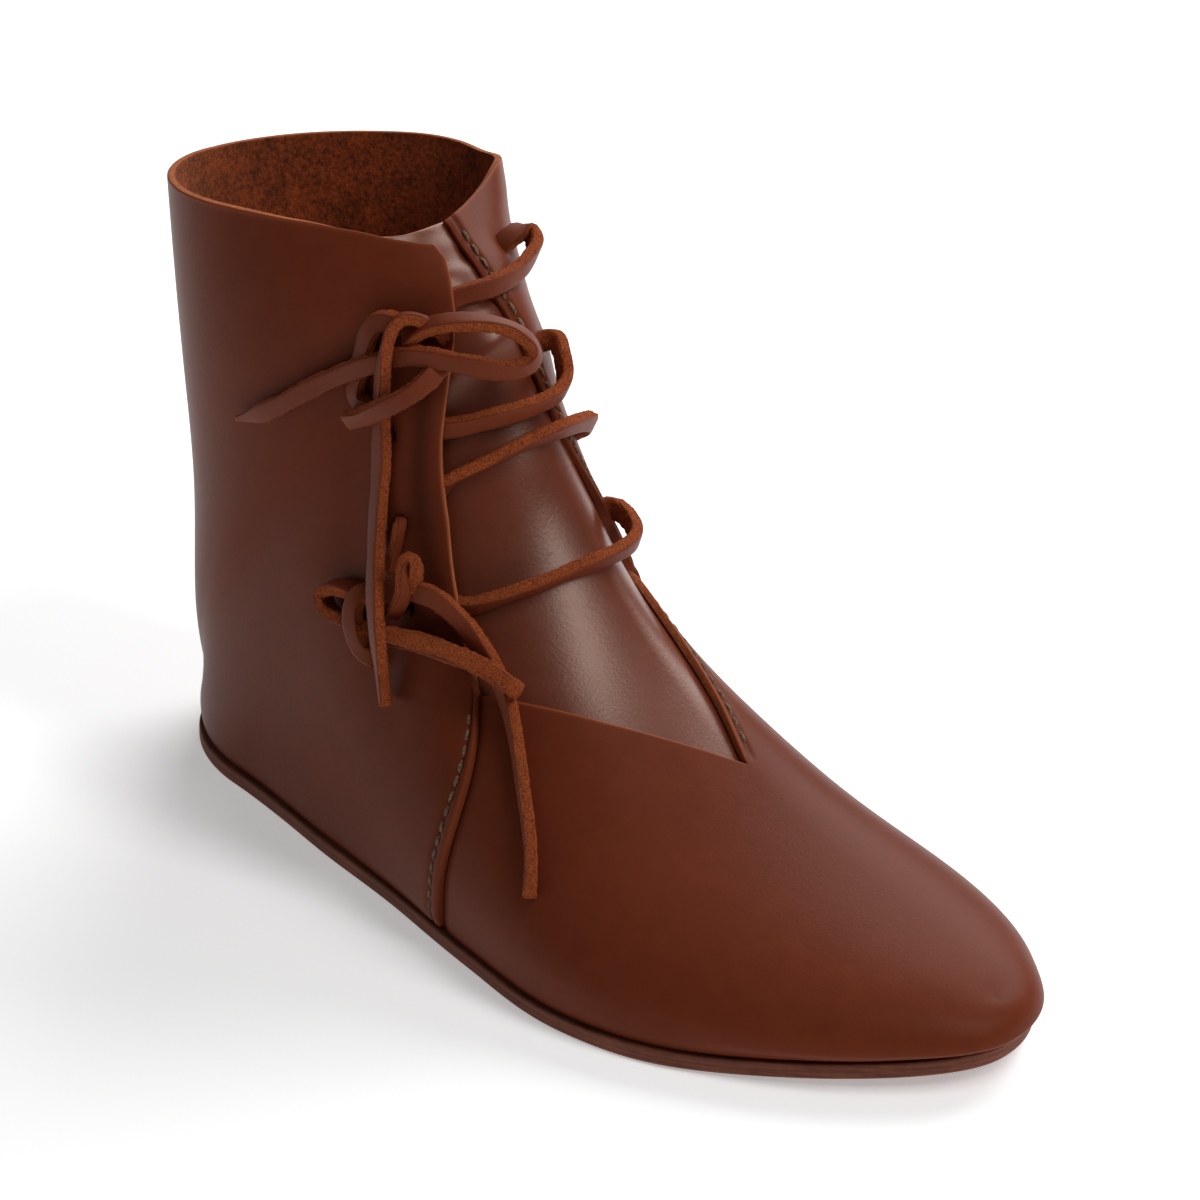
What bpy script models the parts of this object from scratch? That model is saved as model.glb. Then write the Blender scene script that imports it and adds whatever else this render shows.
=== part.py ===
"""A side-laced ankle shoe of plain leather, for the right foot.

The frame is in metres. +X runs to the toe, +Y to the inner (medial) side of the
foot and +Z up, and the origin lies on the floor under the middle of the sole.
The sizes below are in millimetres. In the tables x runs from the back of the heel
and half widths are taken from the line that joins heel and toe.
"""

import bpy
import numpy as np

for old in list(bpy.data.objects):
    bpy.data.objects.remove(old)

MM = 0.001

# Driving sizes of the shoe
LENGTH = 270.0
BALL_WIDTH = 98.0
COLLAR_HEIGHT = 160.0

# Sizes for which the tables were drawn
DRAWN_LENGTH = 270.0
DRAWN_BALL = 98.0
DRAWN_HEIGHT = 160.0

LONG = LENGTH / DRAWN_LENGTH
WIDE = BALL_WIDTH / DRAWN_BALL
HIGH = COLLAR_HEIGHT / DRAWN_HEIGHT

# Thicknesses and clearances
SOLE = 4.2
SOLE_EDGE = 0.7
GAP = 0.3
WALL = 2.0
INSOLE = 2.0
INSOLE_CLEAR = 0.8
TONGUE = 1.8
TONGUE_CLEAR = 0.8
FEATHER_IN = 1.5
RIM = SOLE + GAP

# Sole: round ends, and the lift of the toe
HEEL_ARC = 36.0 * LONG
TOE_ARC = 74.0 * LONG
LIFT_FROM = 190.0 * LONG
TOE_LIFT = 5.0

SOLE_COLUMNS = ("x", "lateral", "medial")
SOLE_TABLE = np.array([
    (0.0, 29.5, 31.0),
    (40.0, 33.4, 30.0),
    (80.0, 41.5, 27.0),
    (112.0, 47.2, 26.0),
    (145.0, 54.8, 31.0),
    (178.0, 59.8, 38.5),
    (205.0, 55.8, 42.0),
    (238.0, 45.0, 44.0),
    (270.0, 34.2, 44.5),
]) * (LONG, WIDE, WIDE)

# Sections of the last, from the toe over the instep to the collar. A section runs from
# its front point on the crest down both sides to its back point, which is on the sole's
# edge up to HEEL_SECTION and on the heel's back line above it. widest is the share of the
# way down where the section is widest, and the powers set how full its two arcs are.
LAST_COLUMNS = ("front_x", "front_z", "back_x", "back_z", "lateral", "medial",
                "widest", "top_power", "low_power", "crest_y")
LAST_TABLE = np.array([
    (266.5, 19.4, 268.5, RIM, 0.0, 0.0, 0.70, 2.00, 1.0, 1.0),
    (263.5, 20.6, 266.2, RIM, 13.5, 15.0, 0.70, 2.00, 1.0, 1.5),
    (255.5, 23.5, 259.2, RIM, 25.0, 25.5, 0.72, 2.10, 1.0, 3.0),
    (238.0, 27.8, 245.0, RIM, 37.5, 35.0, 0.74, 2.10, 1.0, 4.5),
    (215.0, 33.6, 222.0, RIM, 49.5, 41.0, 0.76, 2.00, 1.0, 5.5),
    (189.5, 42.7, 195.0, RIM, 58.0, 41.5, 0.78, 1.90, 1.0, 6.0),
    (165.5, 56.6, 166.0, RIM, 58.5, 39.5, 0.78, 1.85, 1.0, 6.0),
    (143.5, 74.6, 133.0, RIM, 52.5, 36.0, 0.78, 1.80, 1.0, 5.5),
    (127.0, 95.0, 98.0, RIM, 46.0, 34.5, 0.72, 1.85, 1.0, 4.5),
    (116.5, 113.5, 64.0, RIM, 41.0, 35.0, 0.62, 1.90, 1.1, 3.0),
    (110.5, 127.0, 32.0, RIM, 36.5, 35.0, 0.55, 1.95, 1.3, 2.0),
    (107.0, 137.0, 11.5, RIM, 34.0, 35.5, 0.50, 2.00, 1.6, 1.0),
    (104.0, 142.5, 1.5, RIM, 33.0, 35.5, 0.48, 2.00, 2.0, 0.5),
    (100.5, 147.0, -2.4, 26.0, 34.0, 36.0, 0.48, 2.00, 2.0, 0.0),
    (96.5, 150.0, -0.8, 59.0, 35.0, 37.0, 0.48, 2.00, 2.0, 0.0),
    (91.5, 153.5, -1.2, 91.5, 37.0, 39.0, 0.49, 2.00, 2.0, 0.0),
    (86.0, 156.5, -3.2, 123.5, 38.0, 41.5, 0.50, 2.00, 2.0, 0.0),
    (81.0, 159.5, -6.0, 156.5, 38.0, 44.5, 0.50, 2.00, 2.0, 0.0),
]) * (LONG, HIGH, LONG, 1.0, WIDE, WIDE, 1.0, 1.0, 1.0, WIDE)
HEEL_SECTION = 12
TOP_SECTION = len(LAST_TABLE) - 1
LAST_TABLE[HEEL_SECTION + 1:, LAST_COLUMNS.index("back_z")] *= HIGH
WIDEST_PLACE = 0.6
TOE_BULGE = 5.2
TOE_BULGE_REACH = 2.3
HEEL_BLEND = 2.5

# The shaft leans to the medial side and its lateral rim stands higher
LEAN = 4.8
ROLL = 0.104
LEAN_FROM = 9.0

# Throat: places of the opening's two edges along the sections
THROAT_COLUMNS = ("section", "lateral", "medial")
THROAT_TABLE = np.array([
    (5.35, 0.000, 0.000),
    (6.40, 0.165, 0.140),
    (7.50, 0.325, 0.290),
    (8.20, 0.290, 0.190),
    (9.00, 0.255, 0.105),
    (10.2, 0.225, 0.050),
    (11.3, 0.185, 0.025),
    (13.2, 0.125, 0.004),
    (14.8, 0.100, 0.002),
    (16.2, 0.090, 0.000),
    (17.0, 0.096, 0.000),
])
THROAT_POINT = THROAT_TABLE[0, 0]

# Collar: how far its rim lies over the last section, in sections, by place on either side
COLLAR_COLUMNS = ("place", "over")
COLLAR_LATERAL = np.array([
    (0.09, -1.15),
    (0.17, -0.45),
    (0.24, 0.00),
    (0.31, 0.17),
    (0.42, 0.17),
    (0.56, 0.10),
    (0.69, 0.00),
    (0.82, -0.04),
    (1.00, -0.06),
])
COLLAR_MEDIAL = np.array([
    (0.00, 0.38),
    (0.135, 0.98),
    (0.24, 1.02),
    (0.36, 0.55),
    (0.48, 0.20),
    (0.60, 0.12),
    (0.75, 0.00),
    (0.90, -0.05),
    (1.00, -0.06),
])
COLLAR_FROM = 14.0

# Side seams: the quarter overlaps the vamp and stands a step proud of it
SEAM_SECTION = 7.5
SEAM_REACH = 1.6
SEAM_STEP = 1.5
SEAM_STEP_ROW = 0.03
SEAM_FADE = 1.3
SEAM_FOOT_FROM = 0.7
SEAM_FOOT_LOSS = 0.7
SEAM_LATERAL = -0.47
SEAM_LATERAL_TURN = 12
SEAM_MEDIAL = 0.35
SEAM_MEDIAL_TURN = 6

# Free lateral flap: it stands off the tongue so that the lace passes under its edge
FLAP_LIFT = 4.0
FLAP_FROM = 7.6
FLAP_FULL = 8.6
FLAP_WIDTH = 0.30

# Lace: a square-cut thong through four holes on either side
LACE_WIDE = 4.2
LACE_THICK = 2.6
LACE_CORNER = 0.35
CORD_RADIUS = 1.8
CORD_STEP = 8.0
HOLE_RADIUS = 2.3
HOLE_SIDES = 10
HOLE_BELOW = 5.0
HOLE_ABOVE = 8.0
HOLE_COLUMNS = ("medial_section", "medial_place", "flap_section", "flap_place")
HOLE_TABLE = np.array([
    (15.38, 0.143, 13.60, -0.215),
    (11.05, 0.150, 11.16, -0.330),
    (9.50, 0.262, 9.55, -0.340),
    (8.45, 0.262, 8.70, -0.370),
])

# Bars of the lace from the medial hole to the flap's edge: section, place and height over the last
BARS = {
    "lace_bar_1": [(15.52, 0.172, 3.4), (15.40, 0.190, 5.2), (14.99, 0.181, 6.0), (14.36, 0.134, 5.0),
                   (13.79, 0.076, 3.0), (13.58, -0.012, 1.0), (13.86, -0.098, 0.0)],
    "lace_bar_2": [(10.93, 0.138, 3.4), (10.70, 0.127, 4.6), (10.42, 0.117, 5.0), (10.05, 0.105, 5.0),
                   (9.75, 0.065, 4.4), (9.63, -0.006, 3.0), (9.70, -0.080, 1.8), (9.91, -0.147, 0.9),
                   (10.18, -0.206, 0.0)],
    "lace_bar_3": [(9.38, 0.232, 3.4), (9.25, 0.170, 4.6), (9.13, 0.060, 3.6), (9.12, -0.025, 2.4),
                   (9.18, -0.093, 1.5), (9.31, -0.170, 0.8), (9.46, -0.230, 0.0)],
    "lace_bar_4": [(8.26, 0.236, 3.4), (8.00, 0.195, 4.8), (7.78, 0.145, 5.0), (7.62, 0.075, 4.5),
                   (7.58, -0.018, 3.0), (7.64, -0.083, 2.0), (7.75, -0.151, 1.1), (7.92, -0.214, 0.5),
                   (8.20, -0.282, 0.0)],
}

# Tongue: how far it reaches under the throat's edges and over the collar
TONGUE_UNDER_LATERAL = 0.13
TONGUE_UNDER_MEDIAL = 0.06
TONGUE_FROM = 4.9
TONGUE_RISE = 0.5
TONGUE_RISE_FROM = -0.18
TONGUE_RISE_TO = 0.02

# Fineness of the meshes
TONGUE_COLUMNS = 15
SOLE_STATIONS = 44
BAR_STATIONS = 22
ROUTE_STATIONS = 200
SMOOTH_BELOW = 40.0
OFF_TOE = 0.04
SLOPE_SECTION = 0.02
SLOPE_PLACE = 0.01

# Routes of the free lace: section, place and height over the upper's outside
KNOTS = {
    "upper_knot": (4.6, [(13.70, -0.215, 5.6), (13.05, -0.260, 5.6)]),
    "lower_knot": (3.2, [(9.05, -0.322, 4.2), (8.75, -0.332, 4.2)]),
}
ROUTES = {
    "upper_loop": [(13.05, -0.168, 5.5), (12.73, -0.130, 6.0), (11.91, -0.077, 6.3), (11.21, -0.040, 6.5),
                   (10.82, -0.033, 6.5), (10.69, -0.053, 6.2), (10.90, -0.093, 6.0), (11.25, -0.133, 5.5),
                   (12.00, -0.187, 4.8)],
    "upper_end_back": [(13.52, -0.325, 3.2), (13.79, -0.396, 2.8), (14.03, -0.515, 2.6),
                       (14.23, -0.620, 2.6)],
    "upper_end_down": [(12.15, -0.315, 4.4), (11.59, -0.318, 3.6), (10.57, -0.340, 3.2),
                       (9.75, -0.362, 4.6), (9.25, -0.385, 7.2), (8.78, -0.410, 7.4),
                       (8.49, -0.440, 5.2), (8.27, -0.466, 2.8)],
    "lower_loop_back": [(9.20, -0.432, 2.8), (9.59, -0.456, 2.8), (9.85, -0.493, 2.8),
                        (9.83, -0.517, 2.8), (9.51, -0.510, 2.8), (9.18, -0.485, 2.8)],
    "lower_loop_front": [(8.50, -0.392, 3.0), (8.23, -0.358, 4.0), (7.77, -0.311, 5.8),
                         (7.39, -0.279, 7.4), (7.14, -0.259, 7.4)],
    "lower_end": [(8.50, -0.308, 4.0), (8.06, -0.285, 3.4), (7.76, -0.275, 2.8), (7.47, -0.271, 2.6),
                  (7.17, -0.280, 2.6), (6.85, -0.300, 2.6), (6.48, -0.337, 2.6), (6.14, -0.393, 2.6),
                  (5.92, -0.453, 2.6)],
}
LEATHER = (0.115, 0.036, 0.018, 1.0)
EDGE_LEATHER = (0.085, 0.028, 0.015, 1.0)
FLESH_LEATHER = (0.20, 0.075, 0.035, 1.0)
THONG_LEATHER = (0.16, 0.05, 0.025, 1.0)


def natural_spline(values, first=0):
    """A natural cubic through values at first, first + 1 and so on."""
    y = np.asarray(values, float)
    count = len(y)
    matrix = np.eye(count)
    right = np.zeros(count)
    for i in range(1, count - 1):
        matrix[i, i - 1:i + 2] = 1, 4, 1
        right[i] = 6 * (y[i - 1] - 2 * y[i] + y[i + 1])
    bend = np.linalg.solve(matrix, right)

    def at(s):
        s = np.asarray(s, float) - first
        i = np.clip(np.floor(s).astype(int), 0, count - 2)
        f = s - i
        g = 1 - f
        return ((bend[i] * g ** 3 + bend[i + 1] * f ** 3) / 6
                + (y[i] - bend[i] / 6) * g + (y[i + 1] - bend[i + 1] / 6) * f)
    return at


def table_curve(x, y):
    """A smooth curve through uneven x, with slopes taken from the neighbours."""
    slope = np.gradient(y, x)

    def at(q):
        q = np.clip(np.asarray(q, float), x[0], x[-1])
        i = np.clip(np.searchsorted(x, q) - 1, 0, len(x) - 2)
        step = x[i + 1] - x[i]
        t = (q - x[i]) / step
        return ((2 * t ** 3 - 3 * t ** 2 + 1) * y[i] + (t ** 3 - 2 * t ** 2 + t) * step * slope[i]
                + (3 * t ** 2 - 2 * t ** 3) * y[i + 1] + (t ** 3 - t ** 2) * step * slope[i + 1])
    return at


def smooth(u):
    """0 up to u = 0, 1 from u = 1, and an even ramp between."""
    u = np.clip(u, 0, 1)
    return u * u * (3 - 2 * u)


SOLE_LINES = {name: table_curve(SOLE_TABLE[:, 0], SOLE_TABLE[:, i])
              for i, name in enumerate(SOLE_COLUMNS)}


def last_lines():
    """One spline for each column of the last, with the toe mirrored so that it is round."""
    toe = dict(zip(LAST_COLUMNS, LAST_TABLE[1]))
    toe["lateral"], toe["medial"] = -toe["medial"], -toe["lateral"]
    rows = np.vstack([[toe[name] for name in LAST_COLUMNS], LAST_TABLE])
    lines = {name: natural_spline(rows[:, i], first=-1) for i, name in enumerate(LAST_COLUMNS)}
    back = LAST_TABLE[:, LAST_COLUMNS.index("back_x")]
    foot = np.concatenate([back[1:2], back[:HEEL_SECTION + 1], back[HEEL_SECTION - 1:HEEL_SECTION]])
    lines["foot_x"] = natural_spline(foot, first=-1)
    lines["heel_x"] = natural_spline(back[HEEL_SECTION:] - back[HEEL_SECTION])
    heel_z = LAST_TABLE[HEEL_SECTION:, LAST_COLUMNS.index("back_z")]
    lines["heel_z"] = natural_spline(heel_z - RIM)
    return lines


LAST_LINES = last_lines()


def sole_half(x, side, inset=0.0):
    """Half width of the sole at x, drawn in by inset all round."""
    base = np.where(side < 0, SOLE_LINES["lateral"](x), SOLE_LINES["medial"](x)) - inset
    heel = np.clip((HEEL_ARC - x) / (HEEL_ARC - inset), 0, 1)
    toe = np.clip((x - LENGTH + TOE_ARC) / (TOE_ARC - inset), 0, 1)
    return base * np.sqrt(1 - heel ** 2) * np.sqrt(1 - toe ** 2)


def toe_lift(x):
    """Height of the sole's underside over the floor."""
    return TOE_LIFT * np.clip((np.asarray(x, float) - LIFT_FROM) / (LENGTH - LIFT_FROM), 0, 1) ** 2


def soft_over(past, width):
    """past where it is positive and 0 where it is negative, with a round turn of that width."""
    width = np.maximum(width, 1e-6)
    turn = (past + width) ** 2 / (4 * width)
    return np.where(past > width, past, np.where(past < -width, 0, turn))


def last_point(s, w):
    """The last at section s and place w: -1 lateral edge, 0 crest, +1 medial edge.

    Each side is two arcs, from the crest to the widest place and from there in to the back
    point. up is the way up the heel's back line, and the rest of s is the way along the sole.
    """
    line = {name: LAST_LINES[name](s) for name in LAST_COLUMNS}
    side = np.where(w < 0, -1.0, 1.0)
    v = np.abs(w)
    top = np.clip(v / WIDEST_PLACE, 0, 1) * np.pi / 2
    low = np.clip((v - WIDEST_PLACE) / (1 - WIDEST_PLACE), 0, 1) * np.pi / 2
    up = soft_over(s - HEEL_SECTION, HEEL_BLEND * (1 - np.sin(low)))
    foot_x = LAST_LINES["foot_x"](s - up)
    back_x = foot_x + LAST_LINES["heel_x"](up)
    back_z = RIM + toe_lift(foot_x) + LAST_LINES["heel_z"](up)
    feather = sole_half(foot_x, side, FEATHER_IN)
    half = np.where(side < 0, line["lateral"], line["medial"])
    spread = np.sin(top) ** (2 / line["top_power"])
    drop = line["widest"] * (1 - np.cos(top) ** (2 / line["top_power"]))
    on_top = v <= WIDEST_PLACE
    tuck = np.cos(low) ** (2 / line["low_power"])
    t = np.where(on_top, drop, line["widest"] + (1 - line["widest"]) * np.sin(low))
    y = np.where(on_top, side * half * spread + line["crest_y"] * (1 - spread),
                 side * (feather + (half - feather) * tuck))
    bulge = TOE_BULGE * np.clip(1 - (s / TOE_BULGE_REACH) ** 2, 0, 1) ** 2
    x = line["front_x"] + (back_x - line["front_x"]) * t + bulge * np.where(on_top, spread, tuck)
    z = line["front_z"] + (back_z - line["front_z"]) * t
    rise = np.clip((s - LEAN_FROM) / (TOP_SECTION - LEAN_FROM), 0, 1) ** 2
    return np.stack([x, y + LEAN * rise, z - ROLL * y * rise], -1)


def skin(s, w):
    """last_point carried round the toe line and over the heel's back line."""
    s, w = np.broadcast_arrays(np.asarray(s, float), np.asarray(w, float))
    w = np.where(s < 0, -w, w)
    s = np.abs(s)
    past = np.abs(w) > 1
    wrapped = np.where(s >= HEEL_SECTION, -np.sign(w) * (2 - np.abs(w)), np.sign(w))
    return last_point(s, np.where(past, wrapped, w))


def skin_normal(s, w):
    """Outward unit normal of the last, by differences along s and w."""
    s, w = np.broadcast_arrays(np.asarray(s, float), np.asarray(w, float))
    off_toe = np.maximum(s, OFF_TOE)
    along = skin(off_toe + SLOPE_SECTION, w) - skin(off_toe - SLOPE_SECTION, w)
    across = skin(off_toe, w + SLOPE_PLACE) - skin(off_toe, w - SLOPE_PLACE)
    n = np.cross(across, along)
    on_toe_line = s < OFF_TOE / 4
    n[..., 1] = np.where(on_toe_line, 0, n[..., 1])
    return n / np.linalg.norm(n, axis=-1, keepdims=True)


def over_last(s, w, height):
    """The point at a height over the last."""
    return skin(s, w) + np.asarray(height, float)[..., None] * skin_normal(s, w)


def throat_edge(q, side):
    """Distance of the throat's edge from the crest; 0 in front of the throat's point."""
    column = THROAT_COLUMNS.index("lateral" if side < 0 else "medial")
    return np.interp(q, THROAT_TABLE[:, 0], THROAT_TABLE[:, column])


def collar_over(q, v, side):
    """Sections to add to row q at place v of a side, so that the last row follows the collar."""
    table = COLLAR_LATERAL if side < 0 else COLLAR_MEDIAL
    near_top = smooth((q - COLLAR_FROM) / (TOP_SECTION - COLLAR_FROM))
    return near_top * table_curve(table[:, 0], table[:, 1])(v)


def upper_place(q, g, side):
    """Section and place of row q and column g (0 at the throat or crest, 1 at the foot)."""
    edge = throat_edge(q, side)
    v = edge + (1 - edge) * g
    if side < 0:
        shift = SEAM_LATERAL * (1 - (1 - g) ** SEAM_LATERAL_TURN)
    else:
        shift = SEAM_MEDIAL * (1 - g) ** SEAM_MEDIAL_TURN
    near = np.clip(1 - ((q - SEAM_SECTION) / SEAM_REACH) ** 2, 0, 1) ** 2
    return q + shift * near + collar_over(q, v, side), side * v


def quarter_step(q, g):
    """How far the quarter's outside stands over the vamp's: most at the seam, less at the foot."""
    behind = q > SEAM_SECTION - SEAM_STEP_ROW / 2
    back = 1 - smooth((q - SEAM_SECTION) / SEAM_FADE)
    foot = 1 - SEAM_FOOT_LOSS * smooth((g - SEAM_FOOT_FROM) / (1 - SEAM_FOOT_FROM))
    return SEAM_STEP * behind * back * foot


def flap_stand(q, g, side):
    """How far the free lateral flap stands off, greatest along its edge."""
    if side > 0:
        return np.zeros(np.broadcast_shapes(np.shape(q), np.shape(g)))
    along = smooth((q - FLAP_FROM) / (FLAP_FULL - FLAP_FROM))
    return FLAP_LIFT * along * (1 - smooth(g / FLAP_WIDTH))


def over_upper(s, w, height):
    """The point at a height over the upper's outside, or over the flap's edge in the throat."""
    edge = np.where(w < 0, throat_edge(s, -1), throat_edge(s, 1))
    g = np.clip((np.abs(w) - edge) / (1 - edge), 0, 1)
    return over_last(s, w, height + quarter_step(s, g) + flap_stand(s, g, -1) * (w < 0))


def weld(points, faces):
    """Joins points that coincide, and says which point each joined one was."""
    key = np.round(points, 4)
    _, first, index = np.unique(key, axis=0, return_index=True, return_inverse=True)
    joined = index.reshape(-1)[faces]
    return points[first], joined, first


def shell(outer, inner, quads):
    """A closed wall: outer faces, inner faces turned round, and a rim along every open edge."""
    count = len(outer)
    edges = {}
    for quad in quads:
        for a, b in zip(quad, np.roll(quad, -1)):
            edges[(a, b)] = edges.get((a, b), 0) + 1
    rim = [(b, a, a + count, b + count) for a, b in edges if (b, a) not in edges]
    faces = [tuple(q) for q in quads] + [tuple(q[::-1] + count) for q in quads] + rim
    return np.vstack([outer, inner]), faces


def grid_quads(rows, columns, turned):
    """Corner numbers of a grid's faces."""
    n = np.arange(rows * columns).reshape(rows, columns)
    quads = np.stack([n[:-1, :-1], n[1:, :-1], n[1:, 1:], n[:-1, 1:]], -1).reshape(-1, 4)
    return quads[:, ::-1] if turned else quads


def leather(name, colour, roughness):
    """A plain leather finish."""
    material = bpy.data.materials.new(name)
    material.use_nodes = True
    shader = material.node_tree.nodes["Principled BSDF"]
    shader.inputs["Base Color"].default_value = colour
    shader.inputs["Roughness"].default_value = roughness
    return material


def place(name, data, material, parent):
    """Puts mesh or curve data into the scene as a named piece."""
    piece = bpy.data.objects.new(name, data)
    bpy.context.collection.objects.link(piece)
    data.materials.append(material)
    piece.parent = parent
    return piece


def mesh_of(name, points, faces):
    """A smooth mesh from points in millimetres along the shoe."""
    mesh = bpy.data.meshes.new(name)
    centred = (np.asarray(points) - (LENGTH / 2, 0, 0)) * MM
    mesh.from_pydata(centred.tolist(), [], [[int(i) for i in face] for face in faces])
    mesh.shade_smooth()
    mesh.set_sharp_from_angle(angle=np.radians(SMOOTH_BELOW))
    mesh.validate()
    return mesh


def upper_rows():
    """Rows of the upper: closer at the toe, at the seam's step and at the heel's turn."""
    toe = [0.0, 0.3, 0.6, 1.0, 1.5]
    vamp = [2.0, 2.6, 3.2, 3.8, 4.4, 4.9, THROAT_POINT, 5.9, 6.4, 6.8, 7.15]
    seam = [SEAM_SECTION - SEAM_STEP_ROW, SEAM_SECTION, 7.75]
    quarter = [8.2, 8.6, 9.0, 9.6, 10.2, 10.7, 11.1, 11.45, 11.7, 11.88]
    shaft = [HEEL_SECTION, 12.25, 12.6, 13.2, 14.0, 14.8, 15.5, 16.2, 16.6, 16.85, TOP_SECTION]
    return np.array(toe + vamp + seam + quarter + shaft, float)


def upper_columns():
    """Columns of the upper: closer near the throat and the foot."""
    throat = [0.0, 0.06, 0.13, 0.21, 0.29, 0.37]
    side = [0.44, 0.50, 0.56, 0.63]
    foot = [0.71, 0.79, 0.87, 0.94, 1.0]
    return np.array(throat + side + foot, float)


def make_upper(material, parent):
    """Vamp and quarter as one hollow wall, open below, at the throat and at the collar."""
    q = upper_rows()[:, None]
    g = upper_columns()[None]
    outer, inner, quads = [], [], []
    for side in (-1, 1):
        s, w = upper_place(q, g, side)
        s, w = np.broadcast_arrays(s, w)
        stand = flap_stand(q, g, side)
        step = quarter_step(q, g)
        n = skin_normal(s, w)
        skin_point = skin(s, w)
        flat = n * (1, 1, 0)
        flat /= np.linalg.norm(flat, axis=-1, keepdims=True) + 1e-9
        at_foot = ((g == 1) & (q <= HEEL_SECTION))[..., None]
        outside = skin_point + (stand + step)[..., None] * np.where(at_foot, flat, n)
        inside = skin_point + (stand - WALL)[..., None] * np.where(at_foot, flat, n)
        quads.append(grid_quads(*s.shape, turned=side > 0) + sum(len(o) for o in outer))
        outer.append(outside.reshape(-1, 3))
        inner.append(inside.reshape(-1, 3))
    points, faces, first = weld(np.vstack(outer), np.vstack(quads))
    points, faces = shell(points, np.vstack(inner)[first], faces)
    piece = place("upper", mesh_of("upper", points, faces), material, parent)
    cut = piece.modifiers.new("lace_holes", "BOOLEAN")
    cut.operation = "DIFFERENCE"
    cut.object = lace_hole_cutter(parent)
    return piece


def lace_hole_cutter(parent):
    """Short round bars through the wall at the eight lace holes."""
    turn = np.arange(HOLE_SIDES) * 2 * np.pi / HOLE_SIDES
    points, faces = [], []
    row = dict(zip(HOLE_COLUMNS, HOLE_TABLE.T))
    section = np.concatenate([row["medial_section"], row["flap_section"]])
    spot = np.concatenate([row["medial_place"], row["flap_place"]])
    centre = skin(section, spot)
    axis = skin_normal(section, spot)
    for c, a in zip(centre, axis):
        u = np.cross(a, (0, 0, 1.0))
        u /= np.linalg.norm(u)
        v = np.cross(a, u)
        ring = HOLE_RADIUS * (np.cos(turn)[:, None] * u + np.sin(turn)[:, None] * v)
        start = len(points) * HOLE_SIDES
        points += [c + ring - HOLE_BELOW * a, c + ring + HOLE_ABOVE * a]
        low = np.arange(HOLE_SIDES) + start
        high = low + HOLE_SIDES
        faces += [tuple(low[::-1]), tuple(high)]
        faces += [(low[i - 1], low[i], high[i], high[i - 1]) for i in range(HOLE_SIDES)]
    mesh = mesh_of("lace_hole_cutter", np.vstack(points), faces)
    cutter = bpy.data.objects.new("lace_hole_cutter", mesh)
    bpy.context.collection.objects.link(cutter)
    cutter.parent = parent
    cutter.hide_render = True
    cutter.display_type = "WIRE"
    return cutter


def make_tongue(material, parent):
    """The tongue under both edges of the throat, from under the vamp up to the collar."""
    below_seam = np.linspace(TONGUE_FROM, SEAM_SECTION - 0.2, 8)
    above_seam = np.linspace(SEAM_SECTION + 0.2, TOP_SECTION, 22)
    q = np.concatenate([below_seam, above_seam])[:, None]
    share = np.linspace(0, 1, TONGUE_COLUMNS)[None]
    low = -(throat_edge(q, -1) + TONGUE_UNDER_LATERAL)
    high = throat_edge(q, 1) + TONGUE_UNDER_MEDIAL
    w = low + (high - low) * share
    near_top = smooth((q - COLLAR_FROM) / (TOP_SECTION - COLLAR_FROM))
    s = q + TONGUE_RISE * near_top * smooth((w - TONGUE_RISE_FROM) / (TONGUE_RISE_TO - TONGUE_RISE_FROM))
    face = -(WALL + TONGUE_CLEAR)
    outer = over_last(s, w, np.full(s.shape, face))
    inner = over_last(s, w, np.full(s.shape, face - TONGUE))
    quads = grid_quads(*s.shape, turned=True)
    points, faces = shell(outer.reshape(-1, 3), inner.reshape(-1, 3), quads)
    return place("tongue", mesh_of("tongue", points, faces), material, parent)


def slab(name, inset, levels, material, parent):
    """A plate of the sole's outline: loops of (inset, height over the underside), capped."""
    count = SOLE_STATIONS
    u = (1 - np.cos(np.pi * np.arange(count + 1) / count)) / 2
    points, rings = [], []
    for drawn_in, height in levels:
        d = inset + drawn_in
        x = d + (LENGTH - 2 * d) * u
        z = toe_lift(x) + height
        lateral = np.stack([x, -sole_half(x, -1, d), z], -1)
        medial = np.stack([x, sole_half(x, 1, d), z], -1)[-2:0:-1]
        rings.append(len(points) * 2 * count + np.arange(2 * count))
        points.append(np.vstack([lateral, medial]))
    faces = []
    for low, high in zip(rings, rings[1:]):
        faces += list(zip(low, np.roll(low, -1), np.roll(high, -1), high))
    for ring, upward in ((rings[0], False), (rings[-1], True)):
        left = ring[1:count]
        right = ring[count + 1:][::-1]
        strip = [(ring[0], left[0], right[0])]
        strip += list(zip(left, left[1:], right[1:], right))
        strip.append((left[-1], ring[count], right[-1]))
        faces += [face if upward else face[::-1] for face in strip]
    return place(name, mesh_of(name, np.vstack(points), faces), material, parent)


def make_outsole(material, parent):
    """The leather sole: flat from heel to ball, with a lifted toe and softened edges."""
    levels = [(SOLE_EDGE, 0.0), (0.0, SOLE_EDGE), (0.0, SOLE - SOLE_EDGE), (SOLE_EDGE, SOLE)]
    return slab("outsole", 0.0, levels, material, parent)


def make_insole(material, parent):
    """The inner sole, inside the upper's foot."""
    inset = FEATHER_IN + WALL + INSOLE_CLEAR
    return slab("insole", inset, [(0.0, RIM), (0.0, RIM + INSOLE)], material, parent)


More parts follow.
